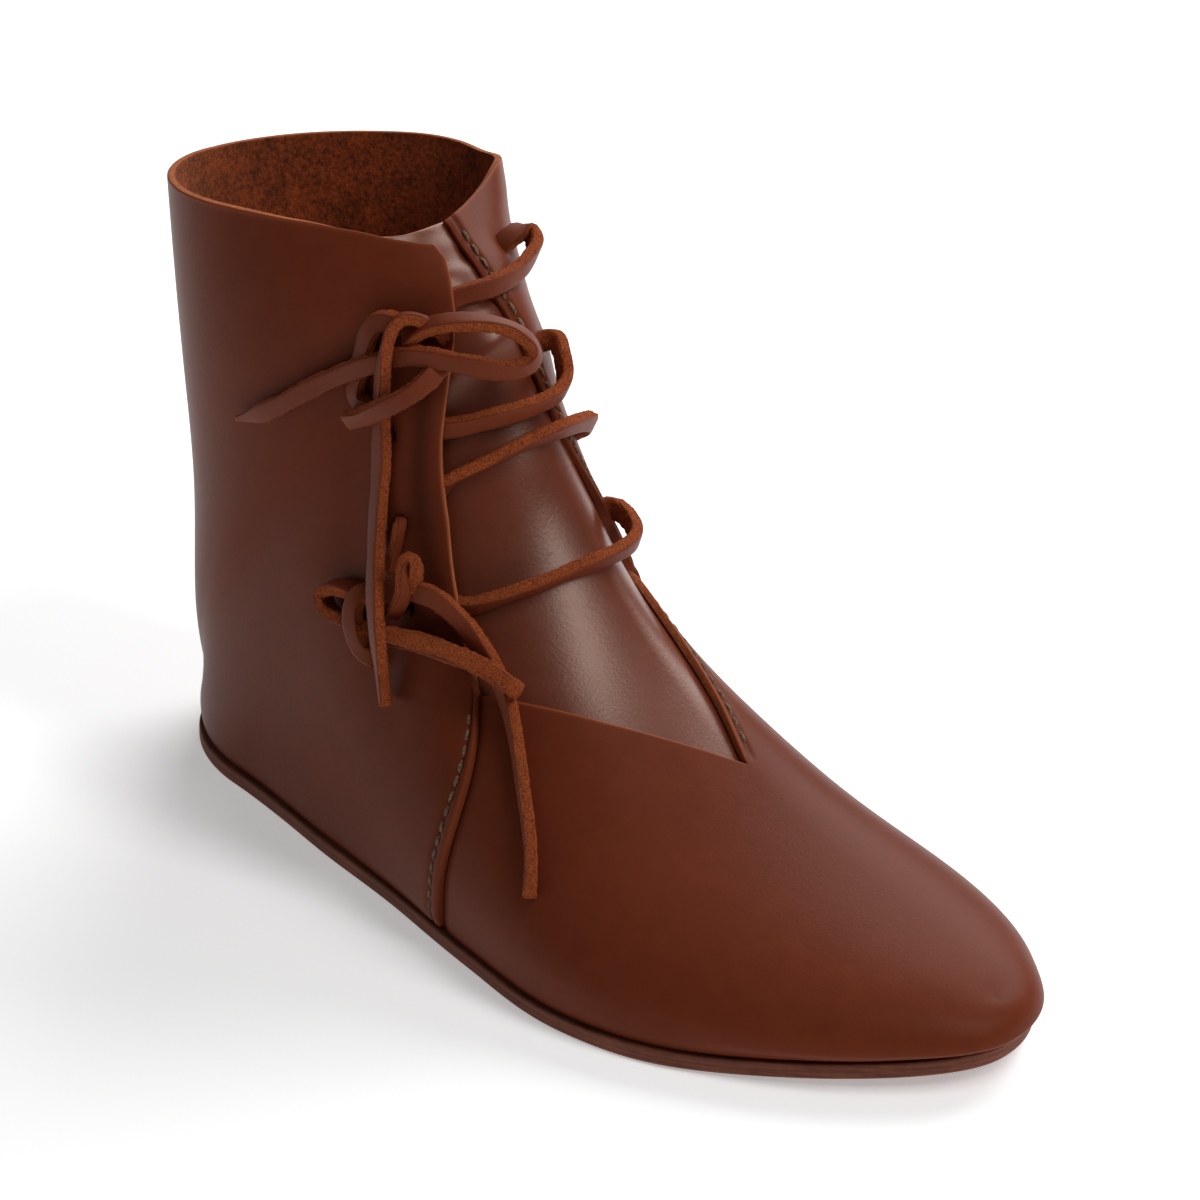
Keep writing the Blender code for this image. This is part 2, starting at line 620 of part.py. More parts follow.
def make_lace_bar(name, stops, material, parent):
    """One bar of lace, arched from beside its medial hole over the tongue to the flap's edge."""
    section, place_on, height = np.array(stops).T
    spots = over_last(section, place_on, height)
    t = np.linspace(0, len(stops) - 1, BAR_STATIONS)
    centre = np.stack([natural_spline(spots[:, i])(t) for i in range(3)], -1)
    up = skin_normal(natural_spline(section)(t), natural_spline(place_on)(t))
    run = np.gradient(centre, axis=0)
    run /= np.linalg.norm(run, axis=1, keepdims=True)
    across = np.cross(run, up)
    across /= np.linalg.norm(across, axis=1, keepdims=True)
    up = np.cross(across, run)
    corner = LACE_CORNER
    half = (LACE_WIDE / 2, LACE_THICK / 2)
    section = [(half[0] * a, half[1] * b) for a, b in
               ((1, corner), (corner, 1), (-corner, 1), (-1, corner),
                (-1, -corner), (-corner, -1), (corner, -1), (1, -corner))]
    ring = np.stack([centre + a * across + b * up for a, b in section], 1)
    count = len(section)
    n = np.arange(BAR_STATIONS * count).reshape(BAR_STATIONS, count)
    after = np.roll(n, -1, axis=1)
    quads = np.stack([n[:-1], n[1:], after[1:], after[:-1]], -1).reshape(-1, 4)
    faces = [tuple(quad) for quad in quads] + [tuple(n[0]), tuple(n[-1][::-1])]
    return place(name, mesh_of(name, ring.reshape(-1, 3), faces), material, parent)


def make_cord(name, route, radius, material, parent):
    """A round cord on a smooth curve through a route over the upper."""
    route = np.array(route)
    spots = over_upper(*route.T)
    lines = [natural_spline(spots[:, i]) for i in range(3)]
    fine = np.linspace(0, len(route) - 1, ROUTE_STATIONS)
    path = np.stack([line(fine) for line in lines], -1)
    run = np.concatenate([[0], np.cumsum(np.linalg.norm(np.diff(path, axis=0), axis=1))])
    count = max(3, int(round(run[-1] / CORD_STEP)) + 1)
    even = np.linspace(0, run[-1], count)
    path = np.stack([np.interp(even, run, path[:, i]) for i in range(3)], -1)
    curve = bpy.data.curves.new(name, "CURVE")
    curve.dimensions = "3D"
    curve.bevel_depth = radius * MM
    curve.bevel_resolution = 2
    curve.use_fill_caps = True
    spline = curve.splines.new("POLY")
    spline.points.add(count - 1)
    for point, spot in zip(spline.points, (path - (LENGTH / 2, 0, 0)) * MM):
        point.co = (*spot, 1)
    return place(name, curve, material, parent)


def make_shoe():
    """All pieces of the shoe under one empty."""
    shoe = bpy.data.objects.new("shoe", None)
    bpy.context.collection.objects.link(shoe)
    smooth_leather = leather("smooth_leather", LEATHER, 0.42)
    sole_leather = leather("sole_leather", EDGE_LEATHER, 0.6)
    flesh = leather("flesh_side", FLESH_LEATHER, 0.9)
    thong = leather("thong_leather", THONG_LEATHER, 0.55)
    make_outsole(sole_leather, shoe)
    make_insole(flesh, shoe)
    make_upper(smooth_leather, shoe)
    make_tongue(smooth_leather, shoe)
    for name, stops in BARS.items():
        make_lace_bar(name, stops, thong, shoe)
    for name, (radius, route) in KNOTS.items():
        make_cord(name, route, radius, thong, shoe)
    for name, route in ROUTES.items():
        make_cord(name, route, CORD_RADIUS, thong, shoe)


make_shoe()
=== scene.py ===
# %% [markdown]
# # A side-laced ankle shoe of plain leather
#
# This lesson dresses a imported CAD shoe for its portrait. The CAD model fixes every size and place. Here we
# make the leather look like leather: panels with a cut edge and a fuzzy inside, seams with thread, thongs
# tied in two knots. Almost every surface is one formula on a grid, because leather on a last is one smooth
# skin that is cut into panels. Stitches and laces lie on the same skin.

import bpy
import numpy as np
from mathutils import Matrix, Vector


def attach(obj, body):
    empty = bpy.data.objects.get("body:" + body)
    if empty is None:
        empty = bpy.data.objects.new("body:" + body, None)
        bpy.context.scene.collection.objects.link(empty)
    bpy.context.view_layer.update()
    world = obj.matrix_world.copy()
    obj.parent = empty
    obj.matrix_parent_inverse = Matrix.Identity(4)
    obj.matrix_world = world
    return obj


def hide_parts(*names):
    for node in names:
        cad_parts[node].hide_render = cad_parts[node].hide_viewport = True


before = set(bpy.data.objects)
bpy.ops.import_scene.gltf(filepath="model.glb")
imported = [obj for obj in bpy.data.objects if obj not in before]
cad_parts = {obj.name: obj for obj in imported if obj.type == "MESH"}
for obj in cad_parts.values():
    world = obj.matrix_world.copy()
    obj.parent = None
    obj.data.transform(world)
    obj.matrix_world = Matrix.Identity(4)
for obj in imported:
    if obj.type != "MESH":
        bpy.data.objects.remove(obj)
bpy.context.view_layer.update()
MM = 0.001
print("CAD nodes:", sorted(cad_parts))

# %% [markdown]
# ## Camera
# The portrait was taken from the shoe's outer front side, a little from above, with a long lens from about
# 1.4 m. The camera stands at that same spot and turns only so far that the shoe sits in the middle of the
# frame.


# %% Camera at the portrait's viewing angle
def put(name, data):
    """A new object in the scene."""
    thing = bpy.data.objects.new(name, data)
    bpy.context.scene.collection.objects.link(thing)
    return thing


def put_aimed(name, data, place, target):
    """A new camera or lamp at place that looks at target."""
    thing = put(name, data)
    thing.location = place
    thing.rotation_mode = "QUATERNION"
    thing.rotation_quaternion = (Vector(target) - Vector(place)).to_track_quat("-Z", "Y")
    return thing


EYE = (0.8518, -0.8647, 0.7098)
AIM = (-0.020, 0.022, 0.062)
lens = bpy.data.cameras.new("portrait_camera")
lens.lens = 168
lens.sensor_width = 36
lens.clip_start = 0.05
lens.clip_end = 50
bpy.context.scene.camera = put_aimed("portrait_camera", lens, EYE, AIM)
print("camera distance", round((Vector(AIM) - Vector(EYE)).length, 3), "m")

# %% [markdown]
# ## The last
# A shoemaker pulls leather over a wooden foot, the last. Its sections start at the toe, climb over the
# instep and end at the collar. Each section runs from a front point on the crest down both sides to a back
# point, first along the sole's edge and then up the heel. The same short tables drive the CAD model, so
# both describe one form. Sizes are in millimetres here, with x from the back of the heel, and become metres
# only when a mesh is made.

# %% Sizes and tables of the last
LENGTH = 270.0
SOLE = 4.2
RIM = 4.5
WALL = 2.0
FEATHER_IN = 1.5
HEEL_ARC = 36.0
TOE_ARC = 74.0
LIFT_FROM = 190.0
TOE_LIFT = 5.0
HEEL_SECTION = 12
TOP_SECTION = 17
WIDEST_PLACE = 0.6
TOE_BULGE = 5.2
TOE_BULGE_REACH = 2.3
TOE_ROUND = 0.2
HEEL_BLEND = 2.5
LEAN = 4.8
ROLL = 0.104
LEAN_FROM = 9.0

# x and the half widths on the lateral and medial side
SOLE_TABLE = np.array([
    (0, 29.5, 31), (40, 33.4, 30), (80, 41.5, 27), (112, 47.2, 26), (145, 54.8, 31), (178, 59.8, 38.5),
    (205, 55.8, 42), (238, 45, 44), (270, 34.2, 44.5),
])

LAST_COLUMNS = ("front_x", "front_z", "back_x", "back_z", "lateral", "medial",
                "widest", "top_power", "low_power", "crest_y")
LAST_TABLE = np.array([
    (266.5, 19.4, 268.5, RIM, 0, 0, 0.7, 2, 1, 1),
    (263.5, 20.6, 266.2, RIM, 13.5, 15, 0.7, 2, 1, 1.5),
    (255.5, 23.5, 259.2, RIM, 25, 25.5, 0.72, 2.1, 1, 3),
    (238, 27.8, 245, RIM, 37.5, 35, 0.74, 2.1, 1, 4.5),
    (215, 33.6, 222, RIM, 49.5, 41, 0.76, 2, 1, 5.5),
    (189.5, 42.7, 195, RIM, 58, 41.5, 0.78, 1.9, 1, 6),
    (165.5, 56.6, 166, RIM, 58.5, 39.5, 0.78, 1.85, 1, 6),
    (143.5, 74.6, 133, RIM, 52.5, 36, 0.78, 1.8, 1, 5.5),
    (127, 95, 98, RIM, 46, 34.5, 0.72, 1.85, 1, 4.5),
    (116.5, 113.5, 64, RIM, 41, 35, 0.62, 1.9, 1.1, 3),
    (110.5, 127, 32, RIM, 36.5, 35, 0.55, 1.95, 1.3, 2),
    (107, 137, 11.5, RIM, 34, 35.5, 0.5, 2, 1.6, 1),
    (104, 142.5, 1.5, RIM, 33, 35.5, 0.48, 2, 2, 0.5),
    (100.5, 147, -2.4, 26, 34, 36, 0.48, 2, 2, 0),
    (96.5, 150, -0.8, 59, 35, 37, 0.48, 2, 2, 0),
    (91.5, 153.5, -1.2, 91.5, 37, 39, 0.49, 2, 2, 0),
    (86, 156.5, -3.2, 123.5, 38, 41.5, 0.5, 2, 2, 0),
    (81, 159.5, -6, 156.5, 38, 44.5, 0.5, 2, 2, 0),
])
print(len(LAST_TABLE), "sections from toe to collar")


# %% Curves through tables
def natural_spline(values, first=0):
    """The cubic through values at first, first + 1 and so on that bends least, straight at both ends."""
    y = np.asarray(values, float)
    count = len(y)
    matrix = np.eye(count)
    inner = np.arange(1, count - 1)
    matrix[inner, inner - 1] = 1
    matrix[inner, inner] = 4
    matrix[inner, inner + 1] = 1
    right = np.zeros(count)
    right[inner] = 6 * (y[:-2] - 2 * y[1:-1] + y[2:])
    bend = np.linalg.solve(matrix, right)

    def at(s):
        s = np.asarray(s, float) - first
        i = np.clip(np.floor(s).astype(int), 0, count - 2)
        f = s - i
        g = 1 - f
        return ((bend[i] * g ** 3 + bend[i + 1] * f ** 3) / 6
                + (y[i] - bend[i] / 6) * g + (y[i + 1] - bend[i + 1] / 6) * f)
    return at


def table_curve(x, y):
    """A cubic between neighbours in the table, with the slope at each row taken from the rows beside it."""
    slope = np.gradient(y, x)

    def at(q):
        q = np.clip(np.asarray(q, float), x[0], x[-1])
        i = np.clip(np.searchsorted(x, q) - 1, 0, len(x) - 2)
        step = x[i + 1] - x[i]
        t = (q - x[i]) / step
        return ((2 * t ** 3 - 3 * t ** 2 + 1) * y[i] + (t ** 3 - 2 * t ** 2 + t) * step * slope[i]
                + (3 * t ** 2 - 2 * t ** 3) * y[i + 1] + (t ** 3 - t ** 2) * step * slope[i + 1])
    return at


def smooth(u):
    """0 up to u = 0, 1 from u = 1, and 3u^2 - 2u^3 between."""
    u = np.clip(u, 0, 1)
    return u * u * (3 - 2 * u)


def last_lines():
    """One spline per column; a mirrored row before the toe makes the toe round."""
    toe = dict(zip(LAST_COLUMNS, LAST_TABLE[1]))
    toe["lateral"], toe["medial"] = -toe["medial"], -toe["lateral"]
    rows = np.vstack([[toe[name] for name in LAST_COLUMNS], LAST_TABLE])
    lines = {name: natural_spline(rows[:, i], first=-1) for i, name in enumerate(LAST_COLUMNS)}
    back = LAST_TABLE[:, 2]
    foot = np.concatenate([back[1:2], back[:HEEL_SECTION + 1], back[HEEL_SECTION - 1:HEEL_SECTION]])
    lines["foot_x"] = natural_spline(foot, first=-1)
    lines["heel_x"] = natural_spline(back[HEEL_SECTION:] - back[HEEL_SECTION])
    lines["heel_z"] = natural_spline(LAST_TABLE[HEEL_SECTION:, 3] - RIM)
    return lines


LINES = last_lines()
LATERAL_SOLE = table_curve(SOLE_TABLE[:, 0], SOLE_TABLE[:, 1])
MEDIAL_SOLE = table_curve(SOLE_TABLE[:, 0], SOLE_TABLE[:, 2])


def sole_half(x, side, inset=0.0):
    """The sole's half width: the table's curve, times a quarter ellipse at heel and toe."""
    base = np.where(side < 0, LATERAL_SOLE(x), MEDIAL_SOLE(x)) - inset
    heel = np.clip((HEEL_ARC - x) / (HEEL_ARC - inset), 0, 1)
    toe = np.clip((x - LENGTH + TOE_ARC) / (TOE_ARC - inset), 0, 1)
    return base * np.sqrt(1 - heel ** 2) * np.sqrt(1 - toe ** 2)


def toe_lift(x):
    """The sole rises with the square of the way from the ball to the toe."""
    return TOE_LIFT * np.clip((np.asarray(x, float) - LIFT_FROM) / (LENGTH - LIFT_FROM), 0, 1) ** 2


print("width at the ball", round(float(sole_half(178.0, -1) + sole_half(178.0, 1)), 1), "mm")


# %% The skin of the last
def soft_over(past, width):
    """past where positive, 0 where negative, and (past + width)^2 / 4 width in the turn between."""
    width = np.maximum(width, 1e-6)
    turn = (past + width) ** 2 / (4 * width)
    return np.where(past > width, past, np.where(past < -width, 0, turn))


def rounded_rise(u):
    """0 to 1 like u, but level at 0: (sqrt(u^2 + k^2) - k) over its value at 1."""
    k = TOE_ROUND
    return (np.sqrt(u ** 2 + k ** 2) - k) / (np.sqrt(1 + k ** 2) - k)


def last_point(s, w):
    """Above its widest place a section is a squashed ellipse, below it tucks in to the sole."""
    line = {name: LINES[name](s) for name in LAST_COLUMNS}
    side = np.where(w < 0, -1.0, 1.0)
    v = np.abs(w)
    top = np.clip(v / WIDEST_PLACE, 0, 1) * np.pi / 2
    low = np.clip((v - WIDEST_PLACE) / (1 - WIDEST_PLACE), 0, 1) * np.pi / 2
    up = soft_over(s - HEEL_SECTION, HEEL_BLEND * (1 - np.sin(low)))
    foot_x = LINES["foot_x"](s - up)
    back_x = foot_x + LINES["heel_x"](up)
    back_z = RIM + toe_lift(foot_x) + LINES["heel_z"](up)
    feather = sole_half(foot_x, side, FEATHER_IN)
    half = np.where(side < 0, line["lateral"], line["medial"])
    spread = np.sin(top) ** (2 / line["top_power"])
    drop = line["widest"] * (1 - np.cos(top) ** (2 / line["top_power"]))
    on_top = v <= WIDEST_PLACE
    tuck = np.cos(low) ** (2 / line["low_power"])
    t = np.where(on_top, drop, line["widest"] + (1 - line["widest"]) * np.sin(low))
    y = np.where(on_top, side * half * spread + line["crest_y"] * (1 - spread),
                 side * (feather + (half - feather) * tuck))
    bulge = TOE_BULGE * np.clip(1 - (s / TOE_BULGE_REACH) ** 2, 0, 1) ** 2
    swell = np.where(on_top, rounded_rise(spread), tuck)
    x = line["front_x"] + (back_x - line["front_x"]) * t + bulge * swell
    z = line["front_z"] + (back_z - line["front_z"]) * t
    rise = np.clip((s - LEAN_FROM) / (TOP_SECTION - LEAN_FROM), 0, 1) ** 2
    return np.stack([x, y + LEAN * rise, z - ROLL * y * rise], -1)


def skin(s, w):
    """last_point, carried on round the toe line and over the heel's back line."""
    s, w = np.broadcast_arrays(np.asarray(s, float), np.asarray(w, float))
    w = np.where(s < 0, -w, w)
    s = np.abs(s)
    past = np.abs(w) > 1
    wrapped = np.where(s >= HEEL_SECTION, -np.sign(w) * (2 - np.abs(w)), np.sign(w))
    return last_point(s, np.where(past, wrapped, w))


SECTION_STEP = 0.02
PLACE_STEP = 0.01


def skin_normal(s, w):
    """The cross product of the skin's two slopes, made one long."""
    s, w = np.broadcast_arrays(np.asarray(s, float), np.asarray(w, float))
    off_toe = np.maximum(s, 2 * SECTION_STEP)
    along = skin(off_toe + SECTION_STEP, w) - skin(off_toe - SECTION_STEP, w)
    across = skin(off_toe, w + PLACE_STEP) - skin(off_toe, w - PLACE_STEP)
    n = np.cross(across, along)
    n[..., 1] = np.where(s < SECTION_STEP / 2, 0, n[..., 1])
    return n / np.linalg.norm(n, axis=-1, keepdims=True)


def over_last(s, w, height):
    """The skin moved out along its normal by a height."""
    return skin(s, w) + np.asarray(height, float)[..., None] * skin_normal(s, w)


print("collar front", np.round(skin(17.0, 0.0), 1), "back", np.round(skin(17.0, 1.0), 1))

# %% [markdown]
# ## How the leather is cut
# Three pieces cover the last. The vamp covers the toes and opens in a V. The quarter wraps round the heel:
# its outer front edge is a free flap, its inner front edge is sewn down. The tongue lies under both. Rows
# of the cutting pattern are bent near the side seams so that one row follows each seam, and columns run
# from the throat down to the sole.

# %% Throat, seams and flap
THROAT_TABLE = np.array([
    (5.35, 0, 0), (6.4, 0.165, 0.14), (7.5, 0.325, 0.29), (8.2, 0.29, 0.19),
    (9, 0.255, 0.105), (10.2, 0.225, 0.05), (11.3, 0.185, 0.025), (13.2, 0.125, 0.004),
    (14.8, 0.1, 0.002), (16.2, 0.09, 0), (17, 0.096, 0),
])
# place on either side, and how many sections the collar's rim lies over the last section there
COLLAR_LATERAL = np.array([
    (0.09, -1.15), (0.17, -0.45), (0.24, 0), (0.31, 0.17), (0.42, 0.17), (0.56, 0.1),
    (0.69, 0), (0.82, -0.04), (1, -0.06),
])
COLLAR_MEDIAL = np.array([
    (0, 0.38), (0.135, 0.98), (0.24, 1.02), (0.36, 0.55), (0.48, 0.2), (0.6, 0.12),
    (0.75, 0), (0.9, -0.05), (1, -0.06),
])
COLLAR_FROM = 14.0
THROAT_POINT = 5.35
SEAM_SECTION = 7.5
SEAM_REACH = 1.6
SEAM_LATERAL = -0.47
SEAM_LATERAL_TURN = 12
SEAM_MEDIAL = 0.35
SEAM_MEDIAL_TURN = 6
SEAM_STEP = 1.5
SEAM_FADE = 1.3
FLAP_LIFT = 4.0
FLAP_FROM = 7.6
FLAP_FULL = 8.6
FLAP_WIDTH = 0.30


def throat_edge(q, side):
    """The throat's edge, by straight steps between the table's rows."""
    return np.interp(q, THROAT_TABLE[:, 0], THROAT_TABLE[:, 1 if side < 0 else 2])


def near_collar(q):
    """0 up to a few sections below the collar, 1 at the collar."""
    return smooth((q - COLLAR_FROM) / (TOP_SECTION - COLLAR_FROM))


def upper_place(q, g, side):
    """Row q and column g to section and place: rows bend to the seam and to the collar's cut."""
    edge = throat_edge(q, side)
    v = edge + (1 - edge) * g
    lateral = SEAM_LATERAL * (1 - (1 - g) ** SEAM_LATERAL_TURN)
    shift = lateral if side < 0 else SEAM_MEDIAL * (1 - g) ** SEAM_MEDIAL_TURN
    near = np.clip(1 - ((q - SEAM_SECTION) / SEAM_REACH) ** 2, 0, 1) ** 2
    table = COLLAR_LATERAL if side < 0 else COLLAR_MEDIAL
    over = table_curve(table[:, 0], table[:, 1])(v) * near_collar(q)
    return q + shift * near + over, side * v


def flap_stand(q, g, side):
    """The flap's stand-off: full along its free edge, fading over its width and down to the seam."""
    if side > 0:
        return np.zeros(np.broadcast_shapes(np.shape(q), np.shape(g)))
    along = smooth((q - FLAP_FROM) / (FLAP_FULL - FLAP_FROM))
    return FLAP_LIFT * along * (1 - smooth(g / FLAP_WIDTH))


def over_upper(s, w, height):
    """A height over the upper's outside; in the throat, over the level of the flap's edge."""
    edge = np.where(w < 0, throat_edge(s, -1), throat_edge(s, 1))
    g = np.clip((np.abs(w) - edge) / (1 - edge), 0, 1)
    step = SEAM_STEP * (s > SEAM_SECTION - 0.015) * (1 - smooth((s - SEAM_SECTION) / SEAM_FADE))
    return over_last(s, w, height + step + flap_stand(s, g, -1) * (w < 0))


print("throat opens at", np.round(skin(THROAT_POINT, 0.0), 1))

# %% [markdown]
# ## From grids to meshes
# A panel is two half grids, outer side and inner side of the foot, that meet on the crest, the toe line and
# the heel line. Points that coincide are welded, a second layer one leather's thickness below closes the
# inside, and every open edge gets a strip of faces: that strip is the cut edge, which shows the raw middle
# of the hide.


# %% Mesh helpers
def eased(count, start, end):
    """0 to 1, a blend of t^start near 0 and 1 - (1 - t)^end near 1, so points crowd at both ends."""
    t = np.linspace(0, 1, count)
    return (1 - t) * t ** start + t * (1 - (1 - t) ** end)


def grid_quads(rows, columns, turned=False):
    """Corner numbers of a grid's faces, row by row."""
    n = np.arange(rows * columns).reshape(rows, columns)
    quads = np.stack([n[:-1, :-1], n[1:, :-1], n[1:, 1:], n[:-1, 1:]], -1).reshape(-1, 4)
    return quads[:, ::-1] if turned else quads


def open_edges(quads, count):
    """Directed edges whose opposite is in no face."""
    edges = np.concatenate([quads[:, [i, (i + 1) % 4]] for i in range(4)])
    key = edges[:, 0] * count + edges[:, 1]
    opposite = edges[:, 1] * count + edges[:, 0]
    return edges[~np.isin(key, opposite)]


def to_world(points):
    """Millimetres from the heel to metres about the middle of the sole."""
    return (np.asarray(points, float) - (LENGTH / 2, 0, 0)) * MM


def make_piece(name, points, faces, slots, slot_of_face=None, marks=None, sharp=50):
    """A mesh object in the frame, with its finishes, a finish number per face and float marks per point."""
    mesh = bpy.data.meshes.new(name)
    faces = faces.tolist() if isinstance(faces, np.ndarray) else faces
    mesh.from_pydata(to_world(points).tolist(), [], faces)
    for finish in slots:
        mesh.materials.append(finish)
    if slot_of_face is not None:
        mesh.polygons.foreach_set("material_index", np.asarray(slot_of_face, np.int32))
    for key, values in (marks or {}).items():
        mark = mesh.attributes.new(key, "FLOAT", "POINT")
        mark.data.foreach_set("value", np.asarray(values, np.float32))
    mesh.shade_smooth()
    mesh.set_sharp_from_angle(angle=np.radians(sharp))
    mesh.update()
    print(name, len(points), "points", len(faces), "faces")
    return put(name, mesh)


def settle(piece, slot, *nodes):
    """Fixes a piece to the shoe's one body and hides the solids that it stands for; slot is not used."""
    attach(piece, "root")
    if nodes:
        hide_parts(*nodes)


def reach_from(points, axis, far_end=False):
    """Millimetres along the grid from its first or last row or column: the running sum of steps."""
    steps = np.linalg.norm(np.diff(points, axis=axis), axis=-1)
    if far_end:
        steps = np.flip(steps, axis)
    total = np.cumsum(steps, axis=axis)
    total = np.concatenate([np.zeros_like(np.take(total, [0], axis=axis)), total], axis=axis)
    return np.flip(total, axis) if far_end else total


def edge_drop(distance, radius):
    """How far a rounded edge falls away: r - sqrt(r^2 - (r - distance)^2) within its radius r."""
    inward = radius - np.clip(distance, 0, radius)
    return radius - np.sqrt(np.maximum(radius ** 2 - inward ** 2, 0))


def dent(distance, width):
    """A soft trough: a bell of that width, 1 in its middle."""
    return np.exp(-(distance / width) ** 2)


# %% [markdown]
# ## Writing shaders as arithmetic
# Blender's material nodes are sums and products drawn as boxes. A small class lets us write them as such: a
# Wire is one output, and +, - and * between wires and numbers add Math nodes. Any other node comes from one
# method, make.


# %% Wires
class Wire:
    """One node output that can be added, multiplied and so on."""

    def __init__(self, tree, socket):
        self.tree = tree
        self.socket = socket

    def make(self, kind, output=0, settings=None, **inputs):
        """Any other node: settings are its own options, inputs are wires or plain values by socket name."""
        node = self.tree.nodes.new("ShaderNode" + kind)
        for key, value in (settings or {}).items():
            setattr(node, key, value)
        for key, value in inputs.items():
            name = key.replace("_", " ")
            socket = node.inputs[int(key[1:])] if key[0] == "i" and key[1:].isdigit() else node.inputs[name]
            self.plug(value, socket)
        return Wire(self.tree, node.outputs[output])

    def plug(self, value, socket):
        """Joins a wire to a socket, or sets the socket to a plain value."""
        if isinstance(value, Wire):
            self.tree.links.new(value.socket, socket)
        else:
            socket.default_value = value

    def math(self, operation, *others):
        """A Math node on this wire and the others."""
        inputs = {f"i{n}": value for n, value in enumerate((self, *others))}
        return self.make("Math", settings={"operation": operation}, **inputs)

    def __add__(self, other):
        return self.math("ADD", other)

    __radd__ = __add__

    def __sub__(self, other):
        return self.math("SUBTRACT", other)

    def __mul__(self, other):
        return self.math("MULTIPLY", other)

    def ramp(self, low, high):
        """0 below low, 1 above high, smooth between."""
        settings = {"interpolation_type": "SMOOTHSTEP"}
        return self.make("MapRange", settings=settings, Value=self, From_Min=low, From_Max=high)

    def tint(self, dark, light):
        """A colour between dark and light."""
        return self.make("Mix", 2, {"data_type": "RGBA"}, i0=self, i6=dark, i7=light)


class Finish:
    """A material with its Principled shader; the wire called spot is the point on the object in metres."""

    def __init__(self, name, **constants):
        self.material = bpy.data.materials.new(name)
        self.material.use_nodes = True
        self.tree = self.material.node_tree
        self.shader = self.tree.nodes["Principled BSDF"]
        start = self.tree.nodes.new("ShaderNodeTexCoord")
        self.spot = Wire(self.tree, start.outputs["Object"])
        for key, value in constants.items():
            self.shader.inputs[key.replace("_", " ")].default_value = value

    def mark(self, name):
        """A float mark stored on the mesh."""
        return self.spot.make("Attribute", "Fac", {"attribute_name": name})

    def noise(self, scale, detail=3.0, roughness=0.55, spot=None):
        """Cloudy noise with that many lumps per metre."""
        return self.spot.make("TexNoise", 0, None, Vector=spot or self.spot, Scale=scale, Detail=detail,
                              Roughness=roughness)

    def cells(self, scale):
        """Distance to the nearest of many scattered points, as between pores."""
        return self.spot.make("TexVoronoi", 0, {"feature": "F1"}, Vector=self.spot, Scale=scale)

    def stretched(self, x, y, z):
        """The spot with its axes stretched, so that noise turns into streaks."""
        return self.spot.make("Mapping", 0, None, Vector=self.spot, Scale=(x, y, z))

    def wear(self, colour, roughness, height, depth, strength=1.0):
        """Joins colour, roughness and a bump of that depth in metres to the shader."""
        bump = self.spot.make("Bump", 0, None, Height=height, Distance=depth, Strength=strength)
        for value, key in ((colour, "Base Color"), (roughness, "Roughness"), (bump, "Normal")):
            self.spot.plug(value, self.shader.inputs[key])
        return self.material


print("shader helpers ready")

# %% [markdown]
# ## Leather, inside and out
# The outside is the grain side: dyed a deep chestnut, rubbed with wax, with faint clouds in the dye, tiny
# pores and a few hair-fine scratches. It shines softly because the wax fills the pores, most on the tongue,
# which the thongs have polished. The inside is the flesh side: loose fibres that scatter light, so it is
# rough, warmer and mottled. The cut edge shows the undyed, orange middle of the hide.


# %% Grain side
WARM_GLOSS = (1.0, 0.82, 0.70, 1)
DARK_DYE = (0.081, 0.0154, 0.0061, 1)
LIGHT_DYE = (0.178, 0.0358, 0.0147, 1)
RUBBED_DYE = (0.30, 0.072, 0.024, 1)
# painted shade: the colour laid into grooves, seams, lace holes and along the foot, where shade falls
PAINTED_SHADE_COLOUR = (0.020, 0.005, 0.003, 1)


def grain_leather(name, gloss, roughness):
    """Dye clouds tint the base, pores and scratches roughen it, worn edges are lighter, and painted shade
    darkens grooves, seams, lace holes and the foot.
    """
    finish = Finish(name, Specular_IOR_Level=gloss, Specular_Tint=WARM_GLOSS)
    clouds = finish.noise(14, 4)
    flecks = finish.noise(160, 4, 0.6)
    pores = finish.cells(950)
    grain = finish.noise(1500, 3, 0.6)
    scratch = finish.noise(1.0, 2, 0.5, finish.stretched(1400, 90, 160)).ramp(0.66, 0.78)
    dye = (clouds * 0.75 + flecks * 0.35 - 0.05).tint(DARK_DYE, LIGHT_DYE)
    rubbed = finish.mark("wear").tint(dye, RUBBED_DYE)
    # the shade mark paints shade into the panels' grooves and recesses
    painted_shade = finish.mark("shade").tint(rubbed, PAINTED_SHADE_COLOUR)
    shine = roughness + clouds * 0.10 + flecks * 0.06 + scratch * 0.06 - 0.08
    height = grain * 0.5 + pores * 0.35 + flecks * 0.5 - scratch * 0.25
    return finish.wear(painted_shade, shine, height, 0.00015, 0.32)


chestnut = grain_leather("chestnut_grain", gloss=0.06, roughness=0.38)
polished = grain_leather("polished_grain", gloss=0.55, roughness=0.33)


# %% Flesh side and cut edge
def fuzzy_leather(name, dark, light, nap, depth):
    """Short fibres: two sizes of noise in colour and bump, no shine."""
    finish = Finish(name, Specular_IOR_Level=0.15, Sheen_Weight=0.25, Sheen_Roughness=0.6,
                    Sheen_Tint=(0.8, 0.45, 0.25, 1))
    tufts = finish.noise(nap, 5, 0.7)
    patches = finish.noise(nap * 0.18, 3)
    fibres = finish.noise(nap * 3.1, 3, 0.7)
    colour = (tufts * 0.7 + patches * 0.3).ramp(0.32, 0.70).tint(dark, light)
    return finish.wear(colour, 0.93 + fibres * 0.05, tufts + fibres * 0.6, depth, 0.9)


suede = fuzzy_leather("flesh_side", (0.070, 0.0120, 0.0029, 1), (0.48, 0.0840, 0.0188, 1), 800, 0.0010)
cut_edge = fuzzy_leather("cut_edge", (0.20, 0.042, 0.012, 1), (0.50, 0.130, 0.040, 1), 1400, 0.0003)
print("leather finishes:", chestnut.name, polished.name, suede.name, cut_edge.name)
